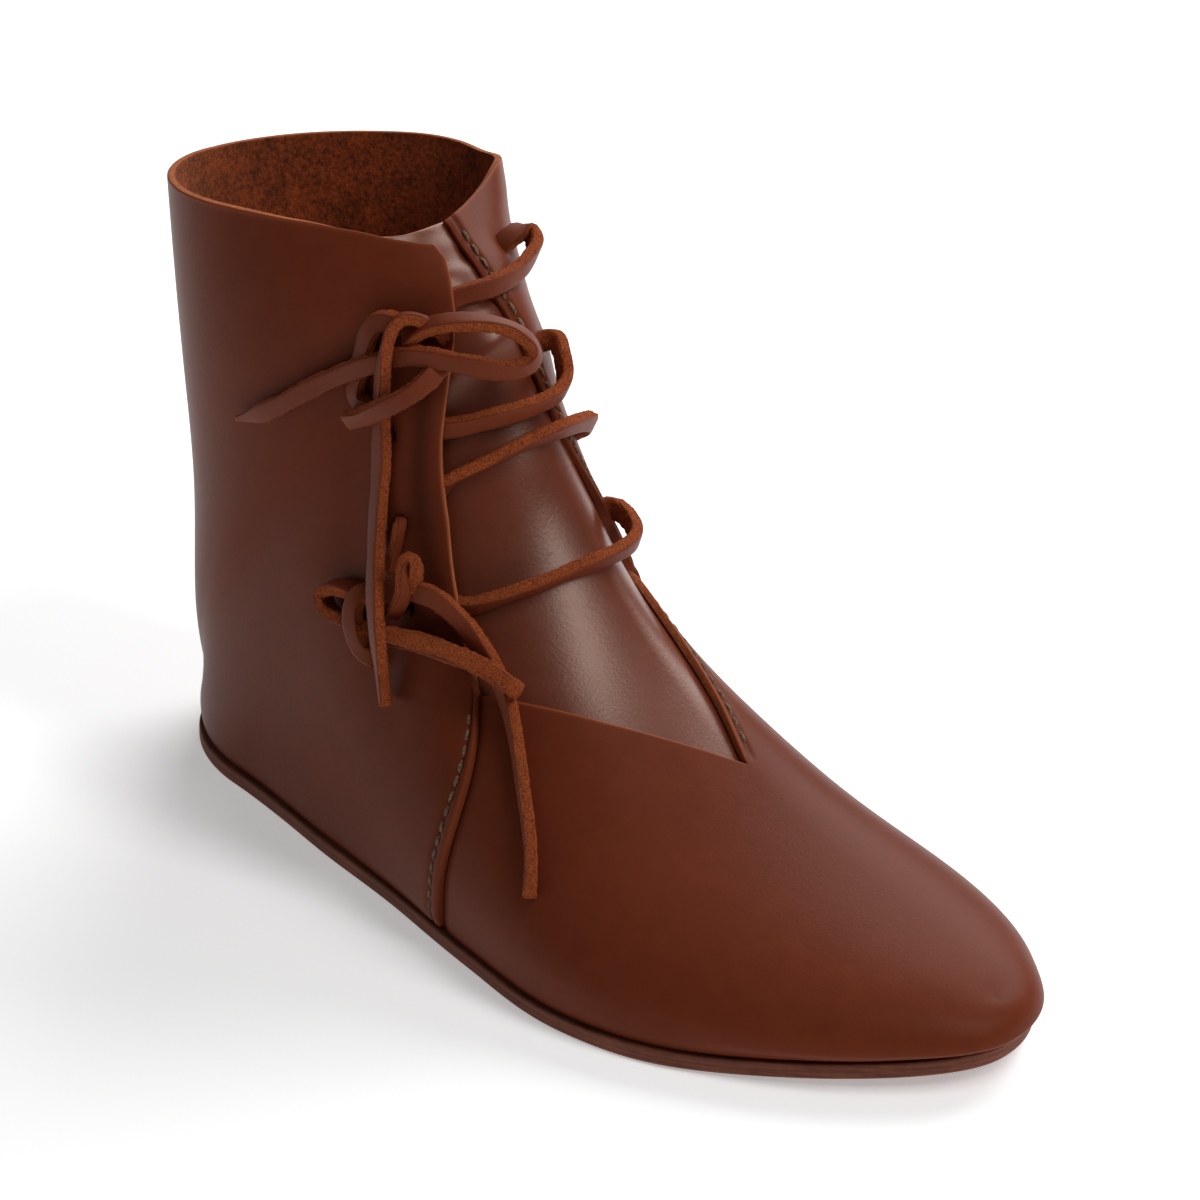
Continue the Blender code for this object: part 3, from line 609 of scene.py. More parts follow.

# %% [markdown]
# ## Panels of the upper
# Each panel gets a height over the last at every point: the rounded cut edges, the trough where a seam
# pulls the leather down, the proud lip of the quarter where it laps the vamp, and the stand-off of the free
# flap. All of them are bells and ramps of the distance to an edge, measured along the grid. Bells of the
# same kind paint shade into the grooves, around the lace holes and along the foot.


# %% Build a panel
# section and place of each inner hole and of the flap's hole that the same bar runs to
HOLE_TABLE = np.array([
    (15.38, 0.143, 13.6, -0.215), (11.05, 0.15, 11.16, -0.33),
    (9.5, 0.262, 9.55, -0.34), (8.45, 0.262, 8.7, -0.37),
])
HOLE_RADIUS = 1.9
HOLES = np.vstack([skin(HOLE_TABLE[:, 0], HOLE_TABLE[:, 1]), skin(HOLE_TABLE[:, 2], HOLE_TABLE[:, 3])])


def hole_distance(points):
    """Distance to the nearest lace hole's middle."""
    away = points[..., None, :] - HOLES
    return np.linalg.norm(away, axis=-1).min(-1)


def closed_wall(name, outer, inner, quads, raw, marks, skin_finish=chestnut):
    """Outer faces, inner faces turned round, and a strip along every open edge, raw where both points are."""
    count = len(outer)
    rim = open_edges(quads, count)
    strip = np.stack([rim[:, 1], rim[:, 0], rim[:, 0] + count, rim[:, 1] + count], -1)
    faces = np.vstack([quads, quads[:, ::-1] + count, strip])
    cut = np.where((raw[rim] > 0.5).all(1), 2, 0)
    finish_number = np.concatenate([np.zeros(len(quads)), np.ones(len(quads)), cut])
    both = {key: np.concatenate([values, values]) for key, values in marks.items()}
    points = np.vstack([outer, inner])
    return make_piece(name, points, faces, [skin_finish, suede, cut_edge], finish_number, both)


def leather_panel(name, q, g, outside, inside, raw_edge):
    """Skin points plus heights along the normals, both halves welded on their shared lines."""
    q, g = q[:, None], g[None]
    layers = {"outer": [], "inner": [], "wear": [], "shade": [], "raw": []}
    quads = []
    for side in (-1, 1):
        s, w = np.broadcast_arrays(*upper_place(q, g, side))
        points = skin(s, w)
        normal = skin_normal(s, w)
        reach = {"throat": reach_from(points, 1), "foot": reach_from(points, 1, True),
                 "first": reach_from(points, 0), "last": reach_from(points, 0, True),
                 "hole": hole_distance(points)}
        flat = normal * (1, 1, 0)
        flat /= np.linalg.norm(flat, axis=-1, keepdims=True) + 1e-9
        way = np.where(((g == 1) & (q <= HEEL_SECTION))[..., None], flat, normal)
        # each outside gives heights, edge wear and painted shade
        high, worn, painted_shade = outside(q, g, side, reach)
        low = inside(q, g, side, reach)
        grid = grid_quads(*s.shape, turned=side > 0)
        whole = hole_distance(points.reshape(-1, 3)[grid].mean(1)) > HOLE_RADIUS
        quads.append(grid[whole] + len(quads) * s.size)
        layers["outer"].append((points + high[..., None] * way).reshape(-1, 3))
        layers["inner"].append((points + low[..., None] * way).reshape(-1, 3))
        for key, values in (("wear", worn), ("shade", painted_shade), ("raw", raw_edge(q, g, side))):
            layers[key].append(np.broadcast_to(values, s.shape).reshape(-1).astype(float))
    layers = {key: np.concatenate(values) for key, values in layers.items()}
    _, first, index = np.unique(np.round(layers["outer"], 4), axis=0, return_index=True, return_inverse=True)
    layers = {key: values[first] for key, values in layers.items()}
    marks = {key: layers[key] for key in ("wear", "shade")}
    welded = index.reshape(-1)[np.vstack(quads)]
    return closed_wall(name, layers["outer"], layers["inner"], welded, layers["raw"], marks)


# %% [markdown]
# ### Vamp
# The vamp's throat is a bare cut edge on the outer side, and on the inner side it is sewn to the tongue,
# which pulls a groove beside the edge. In front of each side seam the leather is drawn down under the
# quarter's lip.


# %% Vamp
EDGE_ROUND = 0.4
SEWN_IN = 2.4
SEWN_WIDE = 0.8
THROAT_BLEND = 0.10


def throat_open(q):
    """0 in front of the throat's point, 1 a little behind it."""
    return smooth((q - THROAT_POINT) / THROAT_BLEND)


def vamp_outside(q, g, side, reach):
    """Minus the seam's trough and the rounded edge, minus the row of stitches on the inner side; with painted
    shade under the quarter's lip, in the stitch groove and along the foot.
    """
    is_open = throat_open(q)
    rounded = edge_drop(reach["throat"], EDGE_ROUND) * is_open
    sewn = dent(reach["throat"] - SEWN_IN, SEWN_WIDE) * is_open * (side > 0)
    height = -0.5 * dent(reach["last"], 2.5) - rounded - 0.4 * sewn
    worn = 0.8 * dent(reach["throat"], 0.6) * is_open
    # painted shade: darker under the quarter's lip, in the stitch groove and where the upper meets the sole
    painted_shade = 0.8 * dent(reach["last"], 1.0) + 0.3 * sewn + 0.5 * dent(reach["foot"], 0.9)
    return height, worn, np.clip(painted_shade, 0, 1)


def vamp_inside(q, g, side, reach):
    """One wall below, with a slightly rounded edge."""
    return -WALL + 0.4 * edge_drop(reach["throat"], EDGE_ROUND) * throat_open(q)


def vamp_raw(q, g, side):
    """The throat's edges are raw."""
    return (g == 0) & (q > THROAT_POINT - 0.01)


vamp_rows = np.sort(np.append(SEAM_SECTION * eased(120, 1.15, 1.5), THROAT_POINT))
vamp = leather_panel("vamp_leather", vamp_rows, eased(84, 2.0, 1.35), vamp_outside, vamp_inside, vamp_raw)

# %% [markdown]
# ### Quarter
# The quarter laps over the vamp with a rounded lip, and its stitches lie in a groove a few millimetres
# behind. On the inner side its front edge is thinned and sewn to the tongue; on the outer side it is a free
# flap with a raw edge.


# %% Quarter
SEAM_FOOT_FROM = 0.7
SEAM_FOOT_LOSS = 0.7
STITCH_BACK = 3.6
LIP_ROUND = 1.1
DIP_IN = 9.0
DIP_WIDE = 5.0
DIP_DEEP = 1.3


def quarter_step(q, g):
    """The lip's height: the step at the seam, fading backwards and losing part of itself at the foot."""
    back = 1 - smooth((q - SEAM_SECTION) / SEAM_FADE)
    return SEAM_STEP * back * (1 - SEAM_FOOT_LOSS * smooth((g - SEAM_FOOT_FROM) / (1 - SEAM_FOOT_FROM)))


def quarter_outside(q, g, side, reach):
    """Flap stand-off plus lip, minus rounded edges, grooves, dimples at lace holes and the flap's dip; with
    painted shade in the grooves, at the holes, along the foot and in the dip.
    """
    lateral = side < 0
    seam_groove = dent(reach["first"] - STITCH_BACK, 0.9) * smooth((reach["throat"] - 1) / 3)
    throat_groove = dent(reach["throat"] - SEWN_IN, SEWN_WIDE) * (not lateral)
    skived = 0.9 * (1 - smooth(reach["throat"] / 3.0)) * (not lateral)
    rounded = (edge_drop(reach["first"], LIP_ROUND) + edge_drop(reach["last"], EDGE_ROUND)
               + edge_drop(reach["throat"], EDGE_ROUND))
    pulled = 0.7 * dent(reach["hole"], 3.5)
    dip_rows = smooth((q - 8.2) / 1.2) * (1 - smooth((q - 12) / 2))
    dip = dent(reach["throat"] - DIP_IN, DIP_WIDE) * dip_rows * lateral
    height = (flap_stand(q, g, side) + quarter_step(q, g) - np.minimum(rounded, LIP_ROUND)
              - 0.55 * seam_groove - 0.45 * throat_groove - skived - pulled - DIP_DEEP * dip)
    worn = (0.5 * dent(reach["last"], 0.8) + 0.8 * dent(reach["throat"], 0.6) * lateral
            + 0.25 * dent(reach["first"], 1.0))
    # painted shade: darker in the seam and throat grooves, along the foot, around the lace holes and in the
    # flap's dip
    painted_shade = (0.45 * seam_groove + 0.4 * throat_groove + 0.5 * dent(reach["foot"], 0.9) * (q <= HEEL_SECTION)
            + 0.5 * dent(reach["hole"], 2.4) + 0.5 * dip)
    return height, np.clip(worn, 0, 1), np.clip(painted_shade, 0, 1)


def quarter_inside(q, g, side, reach):
    """One wall below the flap's stand-off, with slightly rounded edges."""
    rounded = edge_drop(reach["last"], EDGE_ROUND) + edge_drop(reach["throat"], EDGE_ROUND) * (side < 0)
    return flap_stand(q, g, side) - WALL + 0.4 * np.minimum(rounded, EDGE_ROUND)


def quarter_raw(q, g, side):
    """The flap's free edge and the collar are raw."""
    return ((g == 0) & (side < 0)) | ((q == TOP_SECTION) & (g >= 0))


quarter_rows = SEAM_SECTION + (TOP_SECTION - SEAM_SECTION) * eased(140, 1.5, 1.8)
quarter = leather_panel("quarter_leather", quarter_rows, eased(96, 2.0, 1.3), quarter_outside, quarter_inside,
                        quarter_raw)
for panel in (vamp, quarter):
    settle(panel, "upper_leather", "upper")

# %% [markdown]
# ### Tongue
# One soft strip under both edges of the throat, sewn on the inner side and free on the outer. It follows
# the same skin a wall's thickness lower, with a few shallow waves where the laces press on it.


# %% Tongue
TONGUE = 1.8
TONGUE_FROM = 4.9
TONGUE_FACE = -(WALL + 0.35)
TONGUE_RISE = 0.5
UNDER_FLAP = 0.13
UNDER_INNER = 0.06


def make_tongue():
    """A strip from under the flap to under the inner quarter, with waves as a sum of two sines."""
    q = TONGUE_FROM + (TOP_SECTION - TONGUE_FROM) * eased(150, 1.0, 1.8)[:, None]
    low = -(throat_edge(q, -1) + UNDER_FLAP)
    high = throat_edge(q, 1) + UNDER_INNER
    w = low + (high - low) * np.linspace(0, 1, 72)[None]
    s = q + TONGUE_RISE * near_collar(q) * smooth((w + 0.18) / 0.20)
    wave = 0.25 * np.sin(2.3 * s + 4 * w) + 0.15 * np.sin(5.1 * s - 7 * w)
    face = TONGUE_FACE + wave * smooth((s - 7) / 2)
    from_top = reach_from(skin(s, w), 0, True)
    outer = over_last(s, w, face - edge_drop(from_top, 0.7)).reshape(-1, 3)
    inner = over_last(s, w, face - TONGUE).reshape(-1, 3)
    raw = np.broadcast_to(q == TOP_SECTION, s.shape).reshape(-1).astype(float)
    marks = {"wear": 0.4 * dent(from_top, 0.9).reshape(-1), "shade": np.zeros(s.size)}
    quads = grid_quads(*s.shape, turned=True)
    return closed_wall("tongue_leather", outer, inner, quads, raw, marks, polished)


settle(make_tongue(), "upper_leather", "tongue")

# %% [markdown]
# ## Soles
# The outsole is one thick piece of leather cut by hand and blackened at its edge. A section of it is a
# loop: along the underside, round one edge, back over the top and round the other edge. Sections from heel
# to toe make the whole sole. Fine ridges round the edge are the packed fibres of the hide.


# %% Sole finish
def sole_edge_finish():
    """Dark red-brown with thin level streaks, since the fibres of a sole lie in layers."""
    finish = Finish("sole_edge", Specular_IOR_Level=0.2)
    streaks = finish.noise(1.0, 4, 0.6, finish.stretched(60, 60, 1900))
    flecks = finish.noise(420, 4, 0.65)
    scuffs = finish.noise(60, 3).ramp(0.52, 0.75)
    colour = (streaks * 1.3 + flecks * 0.6 - 0.45).tint((0.065, 0.0195, 0.0115, 1), (0.260, 0.078, 0.042, 1))
    rubbed = (scuffs * 0.35).tint(colour, (0.26, 0.090, 0.050, 1))
    return finish.wear(rubbed, 0.52 + flecks * 0.2, streaks + flecks * 0.5, 0.0003, 0.6)


sole_edge = sole_edge_finish()


# %% Outsole and insole
def joined_faces(points, quads):
    """Welds points that coincide and turns quads with a doubled corner into triangles."""
    _, first, index = np.unique(np.round(points, 4), axis=0, return_index=True, return_inverse=True)
    quads = index.reshape(-1)[quads]
    halves = np.concatenate([quads[:, [0, 1, 2]], quads[:, [0, 2, 3]]])
    flat = np.array([len(set(quad)) < 4 for quad in quads.tolist()])
    thin = np.concatenate([flat, flat])
    corners = halves[thin]
    proper = [corner for corner in corners.tolist() if len(set(corner)) == 3]
    return points[first], quads[~flat].tolist() + proper


def sole_plate(name, inset, profile, finish, stations=170, across=15):
    """Loops of (drawn in, height) points on both edges, joined by straight lines above and below."""
    u = (1 - np.cos(np.pi * np.linspace(0, 1, stations))) / 2
    drawn, height = np.array(profile, float).T
    hand = 0.22 * np.sin(19 * u) + 0.15 * np.sin(43 * u + 1.0)
    d = inset + drawn[None]
    x = d + (LENGTH - 2 * d) * u[:, None]
    z = toe_lift(x) + height
    wide = np.sin(np.pi * u)[:, None] * hand[:, None] * 0.5
    lateral = np.stack([x, -np.maximum(sole_half(x, -1, d) + wide, 0), z], -1)
    medial = np.stack([x, np.maximum(sole_half(x, 1, d) + wide, 0), z], -1)
    t = np.linspace(0, 1, across)[None, 1:-1, None]
    under = medial[:, :1] + (lateral[:, :1] - medial[:, :1]) * t
    over = lateral[:, -1:] + (medial[:, -1:] - lateral[:, -1:]) * t
    loop = np.concatenate([lateral, over, medial[:, ::-1], under], 1)
    loop = np.concatenate([loop, loop[:, :1]], 1)
    points, faces = joined_faces(loop.reshape(-1, 3), grid_quads(*loop.shape[:2], turned=True))
    return make_piece(name, points, faces, [finish], sharp=60)


turn = np.linspace(0, np.pi / 2, 6)
edge_profile = np.vstack([
    np.stack([1.0 - 1.0 * np.sin(turn), 1.0 - 1.0 * np.cos(turn)], -1),
    [(0.12, 1.35), (0.0, 1.7), (0.02, 2.3), (0.14, 2.6), (0.02, 2.95), (0.05, 3.3)],
    np.stack([0.75 - 0.7 * np.cos(turn[1:]), SOLE - 0.7 + 0.7 * np.sin(turn[1:])], -1),
])
outsole = sole_plate("outsole_leather", 0.0, edge_profile, sole_edge)
insole_profile = [(0.5, RIM), (0.0, RIM + 0.5), (0.0, RIM + 1.5), (0.5, RIM + 2.0)]
insole = sole_plate("insole_leather", FEATHER_IN + WALL + 0.8, insole_profile, suede)
settle(outsole, "sole_leather", "outsole")
settle(insole, "flesh_leather", "insole")

# %% [markdown]
# ## Thread
# Waxed linen thread, dark olive-brown, shows as short raised stitches in the grooves. Each stitch is a
# small arch that dives into the leather at both ends. All stitches of a seam share one mesh.


# %% Thread finish and stitches
def thread_finish():
    """Olive brown with a fine twist, waxed but dull."""
    finish = Finish("waxed_thread", Specular_IOR_Level=0.2)
    twist = finish.noise(1600, 3, 0.6)
    colour = twist.ramp(0.3, 0.7).tint((0.045, 0.021, 0.011, 1), (0.250, 0.140, 0.080, 1))
    return finish.wear(colour, 0.55 + twist * 0.2, twist, 0.0002, 0.7)


thread = thread_finish()


def unit(vectors):
    """Vectors made one long."""
    return vectors / np.linalg.norm(vectors, axis=-1, keepdims=True)


def between(places, run, rows):
    """The rows' values at places along a run, by straight steps."""
    return np.stack([np.interp(places, run, rows[:, i]) for i in range(3)], -1)


LOOK_AHEAD = 0.3
STITCH_SIDES = 7
STITCH_RISE = 0.35
STITCH_SINK = 0.25


def stitch_row(name, s, w, height, step=3.9, long=3.5, thick=0.5):
    """Arches that rise with 1 - t^2 for t from -1 to 1, swept by a circle of radius thick sqrt(1 - t^4)."""
    line = over_last(s, w, height)
    run = reach_from(line, 0)
    spots = np.arange(step / 2, run[-1] - step / 2, step)
    at = between(spots, run, line)
    way = unit(between(spots + LOOK_AHEAD, run, line) - at)
    across = unit(np.cross(way, between(spots, run, skin_normal(s, w))))
    up = np.cross(across, way)
    t = np.linspace(-1, 1, 9)[:, None]
    radius = thick * np.sqrt(np.maximum(1 - t ** 4, 0.02))
    round_angle = np.arange(STITCH_SIDES) * 2 * np.pi / STITCH_SIDES
    lean = 0.10 * np.sin(1.7 * np.arange(len(at)))[:, None, None]
    forward = long / 2 * t
    sideways = radius * np.cos(round_angle) + lean * t
    lift = STITCH_RISE * (1 - t ** 2) - STITCH_SINK + radius * np.sin(round_angle)
    points = (at[:, None, None] + forward[..., None] * way[:, None, None]
              + sideways[..., None] * across[:, None, None] + lift[..., None] * up[:, None, None])
    n = np.arange(points[..., 0].size).reshape(points.shape[:3])
    after = np.roll(n, -1, 2)
    sides = np.stack([n[:, :-1], n[:, 1:], after[:, 1:], after[:, :-1]], -1).reshape(-1, 4).tolist()
    caps = n[:, 0].tolist() + n[:, -1, ::-1].tolist()
    settle(make_piece(name, points.reshape(-1, 3), sides + caps, [thread]), "thong_leather")


def seam_line(side, top, foot):
    """Section, place and height a few millimetres behind the quarter's lip, from top to foot."""
    g = np.linspace(top, foot, 240)
    s, w = upper_place(SEAM_SECTION, g, side)
    back = skin(s + 0.05, w) - skin(s - 0.05, w)
    s = s + 0.1 * STITCH_BACK / np.linalg.norm(back, axis=1)
    return s, w, quarter_step(SEAM_SECTION, g) - 0.45


stitch_row("seam_stitches_lateral", *seam_line(-1, 0.035, 0.985))
stitch_row("seam_stitches_medial", *seam_line(1, 0.06, 0.985))


def throat_line(first, last):
    """Section, place and height beside the inner throat's edge."""
    q = np.linspace(first, last, 300)
    s, w = upper_place(q, 0.0, 1)
    across = np.linalg.norm(skin(s, w + PLACE_STEP) - skin(s, w - PLACE_STEP), axis=1)
    return s, w + 2 * PLACE_STEP * SEWN_IN / across, np.full(len(q), -0.35)


stitch_row("throat_stitches", *throat_line(7.75, 16.9), step=4.5, long=3.9)
stitch_row("vamp_stitches", *throat_line(5.55, 7.4), step=4.5, long=3.9)

# %% [markdown]
# ## Thongs
# The laces are square-cut leather thongs: one face is smooth grain, the other three are fuzzy. A thong is a
# rounded rectangle carried along a smooth route over the shoe; a roll at each stop says which face looks
# outward, 0 for the grain side, 90 for a thong that stands on its edge.


# %% Thong finish
def thong_finish():
    """Grain where the flesh mark is 0, warm fuzz where it is 1."""
    finish = Finish("thong_leather_cut", Specular_IOR_Level=0.16, Specular_Tint=WARM_GLOSS)
    flesh = finish.mark("flesh")
    tufts = finish.noise(1900, 5, 0.7)
    fibres = finish.noise(4800, 3, 0.7)
    clouds = finish.noise(60, 3)
    grain = (clouds * 0.6 + fibres * 0.4).tint((0.096, 0.0170, 0.0057, 1), (0.210, 0.0395, 0.0135, 1))
    nap = (tufts * 0.8 + fibres * 0.6).ramp(0.44, 0.96)
    fuzz = nap.tint((0.085, 0.0152, 0.0046, 1), (0.60, 0.130, 0.0380, 1))
    colour = flesh.tint(grain, fuzz)
    height = (tufts + fibres * 0.7) * (flesh * 0.85 + 0.15)
    return finish.wear(colour, 0.46 + flesh * 0.45, height, 0.0008, 0.9)


thong = thong_finish()
THONG_WIDE = 4.9
THONG_THICK = 3.2
AROUND = 28
SQUARE = 0.4
FUZZ = 0.09
TIP_LOSS = 0.7
fuzz_draw = np.random.default_rng(11)


# %% Thong builder
def smooth_path(spots, step=0.8):
    """A natural spline through the spots, in even steps, with the place among the spots of every step."""
    lines = [natural_spline(spots[:, i]) for i in range(3)]
    fine = np.linspace(0, len(spots) - 1, 60 * len(spots))
    path = np.stack([line(fine) for line in lines], -1)
    run = reach_from(path, 0)
    share = np.interp(np.linspace(0, run[-1], int(run[-1] / step) + 2), run, fine)
    return np.stack([line(share) for line in lines], -1), share, run[-1]


def make_thong(name, s, w, spots, roll, wide=THONG_WIDE, thick=THONG_THICK, tip=0.0, fold=False):
    """Section |a|^5 + |b|^5 = 1 scaled to the thong, turned by roll about the route, sharper over its tip.

    The section's upward way is the leather's normal less the way along the leather, which also holds where a
    thong comes straight up out of a hole. A folded thong keeps one sideways direction instead.
    """
    path, share, length = smooth_path(spots)
    stops = np.arange(len(spots))
    normal = skin_normal(natural_spline(s)(share), natural_spline(w)(share))
    ground = skin(s, w)
    below = np.stack([natural_spline(ground[:, i])(share) for i in range(3)], -1)
    angle = np.radians(np.interp(share, stops, roll))[:, None]
    run = unit(np.gradient(path, axis=0))
    chord = path[len(path) // 2] - path[0]
    upward = normal - unit(np.gradient(below, axis=0))
    across = unit(np.cross(chord, normal)) if fold else unit(np.cross(run, upward))
    up = unit(np.cross(across, run))
    wide_way = np.cos(angle) * across + np.sin(angle) * up
    thick_way = np.cos(angle) * up - np.sin(angle) * across
    turn = np.arange(AROUND) * 2 * np.pi / AROUND
    a = np.sign(np.cos(turn)) * np.abs(np.cos(turn)) ** SQUARE
    b = np.sign(np.sin(turn)) * np.abs(np.sin(turn)) ** SQUARE
    flesh = np.broadcast_to(smooth((0.86 - b) / 0.2), (len(path), AROUND))
    rough = 1 + FUZZ * flesh * fuzz_draw.uniform(-1, 1, flesh.shape)
    left = np.linspace(length, 0, len(path))
    narrow = 1 - TIP_LOSS * (1 - smooth(left / tip)) if tip else np.ones(len(path))
    hand = 1 + 0.05 * np.sin(0.37 * left + len(name))
    width = (wide / 2 * narrow * hand)[:, None] * a * rough
    depth = (thick / 2 * np.sqrt(narrow))[:, None] * b * rough
    points = path[:, None] + width[..., None] * wide_way[:, None] + depth[..., None] * thick_way[:, None]
    n = np.arange(len(path) * AROUND).reshape(len(path), AROUND)
    after = np.roll(n, -1, 1)
    sides = np.stack([n[:-1], after[:-1], after[1:], n[1:]], -1).reshape(-1, 4).tolist()
    caps = [n[0, ::-1].tolist(), n[-1].tolist()]
    mark = flesh.copy()
    mark[[0, -1]] = 1
    marks = {"flesh": mark.reshape(-1)}
    piece = make_piece(name, points.reshape(-1, 3), sides + caps, [thong], None, marks, sharp=70)
    return piece, to_world(path), length * MM


# %% [markdown]
# ### Bars over the tongue
# Each bar comes out of its hole in the inner quarter, arches over the sewn edge, crosses the tongue, slips
# under the flap and ends close to the flap's own hole, where a knot takes over.


# %% Bars
# section, place, height over the last and roll of each bar, from the inner hole to the flap's hole
BARS = {
    1: [
        (15.38, 0.143, -3, 20), (15.45, 0.152, 1.2, 30), (15.5, 0.176, 4.2, 45), (15.28, 0.188, 5.6, 55),
        (14.85, 0.175, 6, 58), (14.36, 0.134, 5, 58), (13.79, 0.076, 3, 55), (13.58, -0.012, 1.2, 50),
        (13.86, -0.098, 0.2, 30), (13.75, -0.16, 0.2, 0), (13.62, -0.205, 1, 0), (13.6, -0.217, 4, 0)],
    2: [
        (11.05, 0.15, -3, 20), (11.02, 0.148, 0.8, 30), (10.9, 0.138, 3.2, 40), (10.7, 0.126, 4, 50),
        (10.42, 0.117, 4.3, 52), (10.09, 0.107, 4.3, 52), (9.75, 0.065, 4, 50), (9.63, -0.006, 3, 45),
        (9.7, -0.08, 1.8, 38), (9.91, -0.147, 1, 32), (10.18, -0.206, 0.3, 20), (10.6, -0.262, 0, 0),
        (10.92, -0.3, -0.3, 0)],
    3: [
        (9.5, 0.262, -3, 20), (9.48, 0.258, 0.8, 30), (9.4, 0.238, 3, 40), (9.3, 0.198, 4.2, 45),
        (9.22, 0.145, 4.3, 48), (9.12, 0.052, 3.2, 52), (9.12, -0.025, 2.2, 60), (9.18, -0.093, 1.4, 75),
        (9.31, -0.17, 0.8, 95), (9.46, -0.232, 0.3, 90), (9.52, -0.275, 0, 40), (9.54, -0.31, -0.3, 10)],
    4: [
        (8.45, 0.262, -3, 20), (8.42, 0.258, 0.8, 30), (8.26, 0.236, 3.2, 40), (8, 0.195, 4.3, 45),
        (7.78, 0.145, 4.5, 50), (7.62, 0.075, 4.1, 55), (7.58, -0.018, 3, 65), (7.64, -0.083, 2, 75),
        (7.75, -0.151, 1.2, 80), (7.92, -0.214, 0.8, 80), (8.14, -0.276, 0.2, 60), (8.36, -0.312, 0, 20),
        (8.52, -0.338, -0.3, 0)],
}


def make_bar(number, stops):
    """A thong through the stops, heights measured over the last."""
    s, w, height, roll = np.array(stops, float).T
    piece, path, length = make_thong(f"thong_bar_{number}", s, w, over_last(s, w, height), roll)
    settle(piece, "thong_leather", f"lace_bar_{number}")
    return length


bar_lengths = [make_bar(number, stops) for number, stops in BARS.items()]
print("bars", np.round(bar_lengths, 3), "m")
